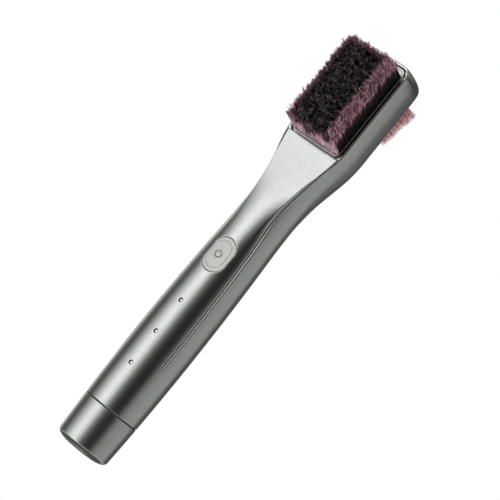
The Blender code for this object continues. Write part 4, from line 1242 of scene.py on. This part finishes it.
def bundle(rng, root_c, tip_c, per, r_root, r_tip, z_jit):
    """Pointed locks: strands that start spread out and run together towards the tip."""
    m = len(root_c)
    group = np.repeat(np.arange(m), per)
    n = m * per
    r = np.sqrt(rng.uniform(0, 1, n))
    a = rng.uniform(0, 2 * math.pi, n)
    off = np.stack([r * np.cos(a), r * np.sin(a), np.zeros(n)], axis=1)
    tips = tip_c[group] + off * r_tip + rng.normal(0, 1.0, (n, 3)) * np.array([0.12, 0.12, z_jit])
    return root_c[group] + off * r_root, tips, group


# long side that faces the camera: pointed locks, black low down and mauve above, with loose pale strands; this mauve is
# the lit copy of the burgundy hair, brighter as painted light
root_c, tip_c = [], []
for row, (y_r, y_t) in enumerate(((-15.6, -15.9), (-14.7, -14.8), (-13.9, -13.8), (-13.3, -13.1))):
    m = 64
    u = 203.0 + (np.arange(m) + 0.5 * (row % 2)) * (50.9 / m) + rng.normal(0, 0.22, m)
    root_c.append(np.stack([u, np.full(m, y_r), np.full(m, ROOT_Z)], axis=1))
    tx = u + 1.7 + rng.normal(0, 0.42, m)
    ty = y_t + rng.normal(0, 0.40, m)
    tz = front_top(np.minimum(tx, 256.4), ty) + rng.normal(0, 0.55, m) - (0.7 if row == 0 else 0.1)
    tip_c.append(np.stack([np.minimum(tx, 256.6), ty, tz], axis=1))
roots, tips, group = bundle(rng, np.concatenate(root_c), np.concatenate(tip_c), int(14 * FEW), 0.62, 0.62, 0.4)
lock_lot = rng.uniform(0, 1, group.max() + 1)
lot = np.clip(0.42 * lock_lot[group] + 0.58 * rng.uniform(0, 1, len(roots)), 0, 1)
n = int(1100 * FEW)
u, d = rng.uniform(202.8, 254.6, n), rng.uniform(0, 1, n)
loose = np.stack([u, -15.9 + 2.6 * d, np.full(n, ROOT_Z)], axis=1)
loose_tip = np.stack([u + 1.6 + rng.normal(0, 0.9, n), -16.5 + 5.4 * d + rng.normal(0, 0.5, n), np.zeros(n)], axis=1)
loose_tip[:, 2] = front_top(np.clip(loose_tip[:, 0], 203, 256.4), np.maximum(loose_tip[:, 1], -16.0)) + rng.normal(0.3, 0.5, n)
roots, tips = np.concatenate([roots, loose]), np.concatenate([tips, loose_tip])
tips[:, 1] = np.maximum(tips[:, 1], -17.3)
tips[:, 2] = np.minimum(tips[:, 2], FRONT_TIP)
group = np.concatenate([group, group.max() + 1 + np.arange(n)])
# three in ten loose strands get lots that make them pale: painted glints
lot = np.concatenate([lot, np.where(rng.uniform(0, 1, n) < 0.3, rng.uniform(0.93, 0.957, n), rng.uniform(0.2, 0.9, n))])
centre = grow(rng, roots, tips, steps, 0.5, 0.38, 0.8, group=group)
halves("front_bristles_burgundy", centre, fine, lot, burgundy_hair_lit, "front_brush", ())

# far long side and far end: dark burgundy, ragged; a darker copy of the same burgundy hair, painted shade for the sides
# away from the light
root_c, tip_c = [], []
for row, (y_r, y_t) in enumerate(((15.6, 16.5), (14.8, 15.2), (13.9, 13.9), (13.0, 12.6))):
    m = 46
    u = 203.0 + (np.arange(m) + 0.5 * (row % 2)) * (52.6 / m) + rng.normal(0, 0.25, m)
    root_c.append(np.stack([u, np.full(m, y_r), np.full(m, ROOT_Z)], axis=1))
    tx, ty = u + 1.2 + rng.normal(0, 0.4, m), y_t - 0.2 + rng.normal(0, 0.4, m)
    tz = front_top(np.clip(tx, 202.5, 256.8), np.clip(ty, -16, 15.4)) + rng.normal(0, 0.6, m)
    tip_c.append(np.stack([np.minimum(tx, 256.8), ty, tz], axis=1))
for row, (x_r, x_t) in enumerate(((254.9, 256.4), (254.1, 255.3), (253.2, 254.1))):
    m = 27
    v = -14.8 + (np.arange(m) + 0.5 * (row % 2)) * (30.0 / m) + rng.normal(0, 0.25, m)
    root_c.append(np.stack([np.full(m, x_r), v, np.full(m, ROOT_Z)], axis=1))
    tx, ty = x_t + rng.normal(0, 0.4, m), v * 1.0 + rng.normal(0, 0.4, m)
    tz = front_top(np.clip(tx, 202.5, 256.0), np.clip(ty, -15.6, 15.6)) + rng.normal(0, 0.6, m)
    tip_c.append(np.stack([tx, ty, tz], axis=1))
roots, tips, group = bundle(rng, np.concatenate(root_c), np.concatenate(tip_c), int(13 * FEW), 0.62, 0.68, 0.35)
tips[:, 0] = np.minimum(tips[:, 0], 257.8)
tips[:, 1] = np.clip(tips[:, 1], -17.0, 18.0)
tips[:, 2] = np.minimum(tips[:, 2], FRONT_TIP)
lot = np.clip(0.6 * rng.uniform(0, 1, group.max() + 1)[group] + 0.4 * rng.uniform(0, 1, len(roots)), 0, 1)
centre = grow(rng, roots, tips, steps, 0.5, 0.62, 1.1, group=group)
halves("front_bristles_burgundy_shaded", centre, fine, lot, burgundy_hair_shaded, "front_brush", ())

# near end: short pale mauve strands before the black; a paler copy of the burgundy hair as painted light, darker
# towards the tips
n = int(5200 * FEW)
v, d = rng.uniform(-15.9, 15.9, n), rng.uniform(0, 1, n)
rise = rng.uniform(0, 1, n) ** 0.75
roots = np.stack([201.75 + 1.3 * d, v, np.full(n, ROOT_Z)], axis=1)
tips = np.stack([202.5 + 1.3 * d + 1.4 * rise + rng.normal(0, 0.3, n), v * 1.0 + rng.normal(0, 0.45, n),
                 15.5 + 9.5 * rise + rng.normal(0, 0.5, n)], axis=1)
tips[:, 1] = np.clip(tips[:, 1], -16.7, 16.7)
centre = grow(rng, roots, tips, steps, 0.35, 0.35, 0.7)
strand_mesh("front_bristles_near", centre, fine * 1.15, rng.uniform(0, 1, n), burgundy_hair_near_lit, "front_brush", ())


def hair_bed(name, levels, mat, body, ridges, depth, seed):
    """Packed lower hair as one closed body with upright ridges, hidden among the strands."""
    rng = np.random.default_rng(seed)
    n = 240
    phase = rng.uniform(0, 2 * math.pi, 6)
    verts, rings = [], []
    for x0, x1, h, z0, z1, corner in levels:
        base = rounded_rect(x0, x1, h, corner, 10)
        p = np.array([(b[0], b[1]) for b in base])
        p = np.vstack([p, p[:1]])
        s = np.concatenate([[0], np.cumsum(np.hypot(*np.diff(p, axis=0).T))])
        q = np.linspace(0, s[-1], n, endpoint=False)
        px, py = np.interp(q, s, p[:, 0]), np.interp(q, s, p[:, 1])
        cx, cy = (x0 + x1) / 2, 0.0
        ring = []
        for k in range(n):
            u = 2 * math.pi * k / n
            w = sum(math.sin(u * f + ph) for f, ph in zip((ridges, ridges * 1.7 // 1, ridges * 2.3 // 1), phase)) / 3
            dx, dy = px[k] - cx, py[k] - cy
            l = math.hypot(dx, dy)
            kx = 1 - depth * (0.5 + 0.5 * w) / l
            tx = (px[k] - x0) / (x1 - x0)
            ring.append(len(verts))
            verts.append((cx + dx * kx, cy + dy * kx, mix(z0, z1, tx)))
        rings.append(ring)
    faces = []
    for a, b in zip(rings[:-1], rings[1:]):
        for i in range(n):
            j = (i + 1) % n
            faces.append((a[i], a[j], b[j], b[i]))
    faces.append(tuple(rings[0]))
    faces.append(tuple(rings[-1]))
    return new_object(name, verts, faces, mat, body, (), sharp=50.0)


hair_bed("front_bristle_bed", [(203.4, 255.6, 15.4, HEAD_TOP - 0.2, HEAD_TOP - 0.2, 2.4),
                               (204.0, 255.6, 15.0, 14.5, 14.5, 2.4), (205.0, 255.0, 13.8, 19.5, 19.5, 2.4),
                               (206.6, 253.4, 12.4, 22.6, 22.4, 2.4), (209.5, 251.0, 9.8, 24.4, 24.2, 2.4)],
         front_bed, "front_brush", 66, 0.6, 3)

rng = np.random.default_rng(23)
N_REAR = 150
roots, tips = [], []
for tx in 229.4 + np.arange(6) * 3.95:
    for ty in -10.9 + np.arange(6) * 4.36:
        n = N_REAR
        r = 1.6 * np.sqrt(rng.uniform(0, 1, n))
        a = rng.uniform(0, 2 * math.pi, n)
        off = np.stack([r * np.cos(a), r * np.sin(a)], axis=1)
        root = np.stack([tx + off[:, 0], ty + off[:, 1], np.full(n, -HEAD_BACK - 0.1 + 0.3)], axis=1)
        wide = 1.10 + 0.20 * (tx - 228.0) / 24.0
        tip_x = tx + off[:, 0] * 1.6 - 0.75 + rng.normal(0, 0.35, n)
        tip_y = ty * (1.14 * wide) + off[:, 1] * 1.7 + rng.normal(0, 0.55, n)
        tip_x = np.clip(tip_x, 224.2, 252.6)
        limit = 16.3 + 1.2 * (tip_x - 225.3) / 26.6
        over = np.maximum(np.abs(tip_y) - limit, 0.0)
        tip_y = np.sign(tip_y) * (np.minimum(np.abs(tip_y), limit) + 0.25 * over)
        end = -24.2 - 4.6 * (tip_x - 227.0) / 25.8
        edge = np.clip(1 - (limit - np.abs(tip_y)) / 3.5, 0, 1)
        z = end + 0.6 * edge ** 2 + rng.normal(0, 0.3) + 0.40 * rng.exponential(1.0, n) * (1 + edge)
        floor_z = -(SHIFT[2] + tip_x * math.sin(TILT)) / math.cos(TILT) + 0.15
        tip = np.stack([tip_x, tip_y, np.maximum(z, np.maximum(floor_z, REAR_TIP))], axis=1)
        roots.append(root)
        tips.append(tip)
roots, tips = np.concatenate(roots), np.concatenate(tips)
centre = grow(rng, roots, tips, steps, 0.25, 0.12, 0.5)
floor_at = -(SHIFT[2] + centre[:, :, 0] * math.sin(TILT)) / math.cos(TILT) + 0.08
centre[:, :, 2] = np.maximum(centre[:, :, 2], floor_at)
lot = rng.uniform(0, 1, len(centre))
halves("rear_bristles_pink", centre, taper * 1.15, lot, pink_hair, "rear_brush", ("rear_bristles",))
hair_bed("rear_bristle_bed", [(229.4, 250.4, 11.4, -HEAD_BACK - 0.05, -HEAD_BACK - 0.05, 2.4),
                              (229.0, 250.8, 12.2, -17.5, -19.0, 2.4), (229.2, 251.0, 12.9, -20.6, -23.5, 2.4),
                              (230.6, 249.8, 11.6, -21.6, -24.9, 2.4)],
         rear_bed, "rear_brush", 54, 0.6, 5)

# ---------------------------------------------------------------- floor
me = bpy.data.meshes.new("floor")
S = 6.0
me.from_pydata([(-S, -S, 0.0), (S, -S, 0.0), (S, S, 0.0), (-S, S, 0.0)], [], [(0, 1, 2, 3)])
floor = bpy.data.objects.new("floor", me)
bpy.context.scene.collection.objects.link(floor)
m = bpy.data.materials.new("floor_white")
m.use_nodes = True
t = m.node_tree
t.nodes.clear()
out = t.nodes.new("ShaderNodeOutputMaterial")
em = t.nodes.new("ShaderNodeEmission")
em.inputs["Color"].default_value = (1.0, 1.0, 1.0, 1.0)
em.inputs["Strength"].default_value = 1.0
t.links.new(em.outputs[0], out.inputs["Surface"])
me.materials.append(m)
floor.visible_glossy = False
floor.visible_shadow = False

# ---------------------------------------------------------------- studio light round the object
# Brightness of the studio by direction about the brush's long axis: degrees from straight above, positive towards
# the side that faces the camera. Two large soft panels and a weaker side panel, with dark gaps between them.
STUDIO = ((-180, 0.06), (-163, 0.22), (-150, 0.62), (-140, 0.68), (-129, 0.54), (-118, 0.38), (-105, 0.165), (-93, 0.072),
          (-81, 0.05), (-69, 0.135), (-57, 0.30), (-45, 0.50), (-33, 0.73), (-20, 0.79), (-9, 0.50), (3, 0.14), (15, 0.035),
          (28, 0.016), (40, 0.012), (51, 0.03), (58, 0.09), (66, 0.15), (80, 0.205), (112, 0.235), (124, 0.235),
          (136, 0.225), (147, 0.115), (157, 0.062), (168, 0.055))
GAIN = 1.75

world = bpy.data.worlds.new("studio")
bpy.context.scene.world = world
world.use_nodes = True
t = world.node_tree
t.nodes.clear()
out = t.nodes.new("ShaderNodeOutputWorld")
tc = t.nodes.new("ShaderNodeTexCoord")
mp = t.nodes.new("ShaderNodeMapping")
mp.inputs["Rotation"].default_value = (0.0, TILT, 0.0)
t.links.new(tc.outputs["Generated"], mp.inputs["Vector"])
sep = t.nodes.new("ShaderNodeSeparateXYZ")
t.links.new(mp.outputs["Vector"], sep.inputs["Vector"])


def math_node(op, a, b=None, c=None, clamp=False):
    n = t.nodes.new("ShaderNodeMath")
    n.operation = op
    n.use_clamp = clamp
    for i, v in enumerate((a, b, c)):
        if v is None:
            continue
        if isinstance(v, (int, float)):
            n.inputs[i].default_value = v
        else:
            t.links.new(v, n.inputs[i])
    return n.outputs[0]


turn = math_node("ARCTAN2", math_node("MULTIPLY", sep.outputs["Y"], -1.0), sep.outputs["Z"])
turn = math_node("MULTIPLY_ADD", turn, 1 / (2 * math.pi), 0.5)
stops = [((a + 180) / 360, (v, v, v)) for a, v in STUDIO] + [(1.0, (STUDIO[0][1],) * 3)]
r = t.nodes.new("ShaderNodeValToRGB")
r.color_ramp.interpolation = "EASE"
el = r.color_ramp.elements
while len(el) > 1:
    el.remove(el[-1])
el[0].position, el[0].color = stops[0][0], (*stops[0][1], 1.0)
for pos, col in stops[1:]:
    e = el.new(pos)
    e.color = (*col, 1.0)
t.links.new(turn, r.inputs["Fac"])


def step_node(value, lo, hi, a=0.0, b=1.0):
    n = t.nodes.new("ShaderNodeMapRange")
    n.interpolation_type = "SMOOTHSTEP"
    for key, v in (("From Min", lo), ("From Max", hi), ("To Min", a), ("To Max", b)):
        n.inputs[key].default_value = v
    t.links.new(value, n.inputs["Value"])
    return n.outputs["Result"]


def mix_node(a, b, k):
    return math_node("ADD", math_node("MULTIPLY", a, math_node("SUBTRACT", 1.0, k)), math_node("MULTIPLY", b, k))


# the far ends of the studio are dark; a narrow light band lies before the dark at the cap's end
x_dir = sep.outputs["X"]
level = math_node("MULTIPLY", r.outputs["Color"], math_node("ADD", step_node(x_dir, 0.09, 0.13, 1.0, 1.08), step_node(x_dir, 0.15, 0.19, 0.0, -0.09)))
left = math_node("MULTIPLY", step_node(x_dir, 0.09, 0.14), step_node(turn, 0.25, 0.333, 1.0, 0.0))
level = math_node("MULTIPLY", level, math_node("MULTIPLY_ADD", left, 0.45, 1.0))
level = math_node("MULTIPLY_ADD", left, 0.03, level)
behind = step_node(turn, 0.17, 0.26, 1.0, 0.0)
level = mix_node(0.062, level, step_node(math_node("MULTIPLY_ADD", behind, -0.17, x_dir), -0.62, -0.30))
band = math_node("MULTIPLY", step_node(x_dir, -0.60, -0.50), step_node(x_dir, -0.42, -0.32, 1.0, 0.0))
band = math_node("MULTIPLY", band, math_node("SUBTRACT", 1.0, behind))
level = math_node("ADD", level, math_node("MULTIPLY", band, 0.24))
high = step_node(math_node("SUBTRACT", x_dir, step_node(sep.outputs["Z"], -0.6, -0.1, 0.0, 0.25)), 0.18, 0.36)
level = mix_node(level, 0.04, high)
# broad soft light from beyond both ends, for looking along the handle
ends = math_node("MULTIPLY", behind, step_node(x_dir, -0.86, -0.66, 0.55, 0.0))
ends = math_node("ADD", step_node(x_dir, 0.54, 0.70), ends)
level = mix_node(level, math_node("MULTIPLY_ADD", r.outputs["Color"], 0.62, 0.10), ends)
level = math_node("MULTIPLY", level, GAIN)
tint = t.nodes.new("ShaderNodeCombineColor")
t.links.new(math_node("MULTIPLY", level, 0.985), tint.inputs["Red"])
t.links.new(level, tint.inputs["Green"])
t.links.new(math_node("MULTIPLY", level, 0.975), tint.inputs["Blue"])
lp = t.nodes.new("ShaderNodeLightPath")
soft = t.nodes.new("ShaderNodeMix")
soft.data_type = "RGBA"
t.links.new(lp.outputs["Is Diffuse Ray"], soft.inputs["Factor"])
t.links.new(tint.outputs["Color"], soft.inputs["A"])
soft.inputs["B"].default_value = (0.62, 0.62, 0.62, 1.0)
seen = t.nodes.new("ShaderNodeMix")
seen.data_type = "RGBA"
t.links.new(lp.outputs["Is Camera Ray"], seen.inputs["Factor"])
t.links.new(soft.outputs["Result"], seen.inputs["A"])
seen.inputs["B"].default_value = (1.0, 1.0, 1.0, 1.0)
bg = t.nodes.new("ShaderNodeBackground")
t.links.new(seen.outputs["Result"], bg.inputs["Color"])
t.links.new(bg.outputs[0], out.inputs["Surface"])


def panel(name, place, aim, size, power, glossy=False):
    light = bpy.data.lights.new(name, "AREA")
    light.shape = "RECTANGLE"
    light.size, light.size_y = size
    light.energy = power
    ob = bpy.data.objects.new(name, light)
    bpy.context.scene.collection.objects.link(ob)
    ob.location = place
    ob.rotation_euler = (Vector(aim) - Vector(place)).to_track_quat("-Z", "Y").to_euler()
    ob.visible_glossy = glossy
    ob.visible_camera = False
    return ob


panel("key_panel", (0.25, -0.55, 0.75), (0.0, 0.0, 0.02), (0.5, 0.4), 5.0)
panel("end_panel", (-0.55, -0.3, 0.32), (0.1, 0.0, 0.02), (0.4, 0.3), 2.2)
panel("back_panel", (-0.1, 0.7, 0.55), (0.0, 0.0, 0.02), (0.6, 0.4), 2.5)

# ---------------------------------------------------------------- camera
CAM = Vector((61.215, -418.325, 747.889))
AIM = Vector((136.2, -4.5, 0.0))
ROLL = math.radians(38.83)
LENS_PX = 1637.82
fwd = (AIM - CAM).normalized()
side = Vector((1.0, 0.0, 0.0))
up0 = (side - fwd * side.dot(fwd)).normalized()
right0 = fwd.cross(up0)
right = right0 * math.cos(ROLL) + up0 * math.sin(ROLL)
up = -right0 * math.sin(ROLL) + up0 * math.cos(ROLL)
turn3 = Matrix.Rotation(-TILT, 3, "Y")
basis = Matrix((turn3 @ right, turn3 @ up, turn3 @ -fwd)).transposed()
cam_data = bpy.data.cameras.new("camera")
cam_data.sensor_width = 36.0
cam_data.lens = LENS_PX / 500.0 * 36.0
cam_data.clip_start = 0.01
cam_data.clip_end = 50.0
camera = bpy.data.objects.new("camera", cam_data)
bpy.context.scene.collection.objects.link(camera)
camera.matrix_world = Matrix.Translation(PLACE @ CAM) @ basis.to_4x4()
bpy.context.scene.camera = camera
bpy.context.scene.view_settings.view_transform = "Standard"
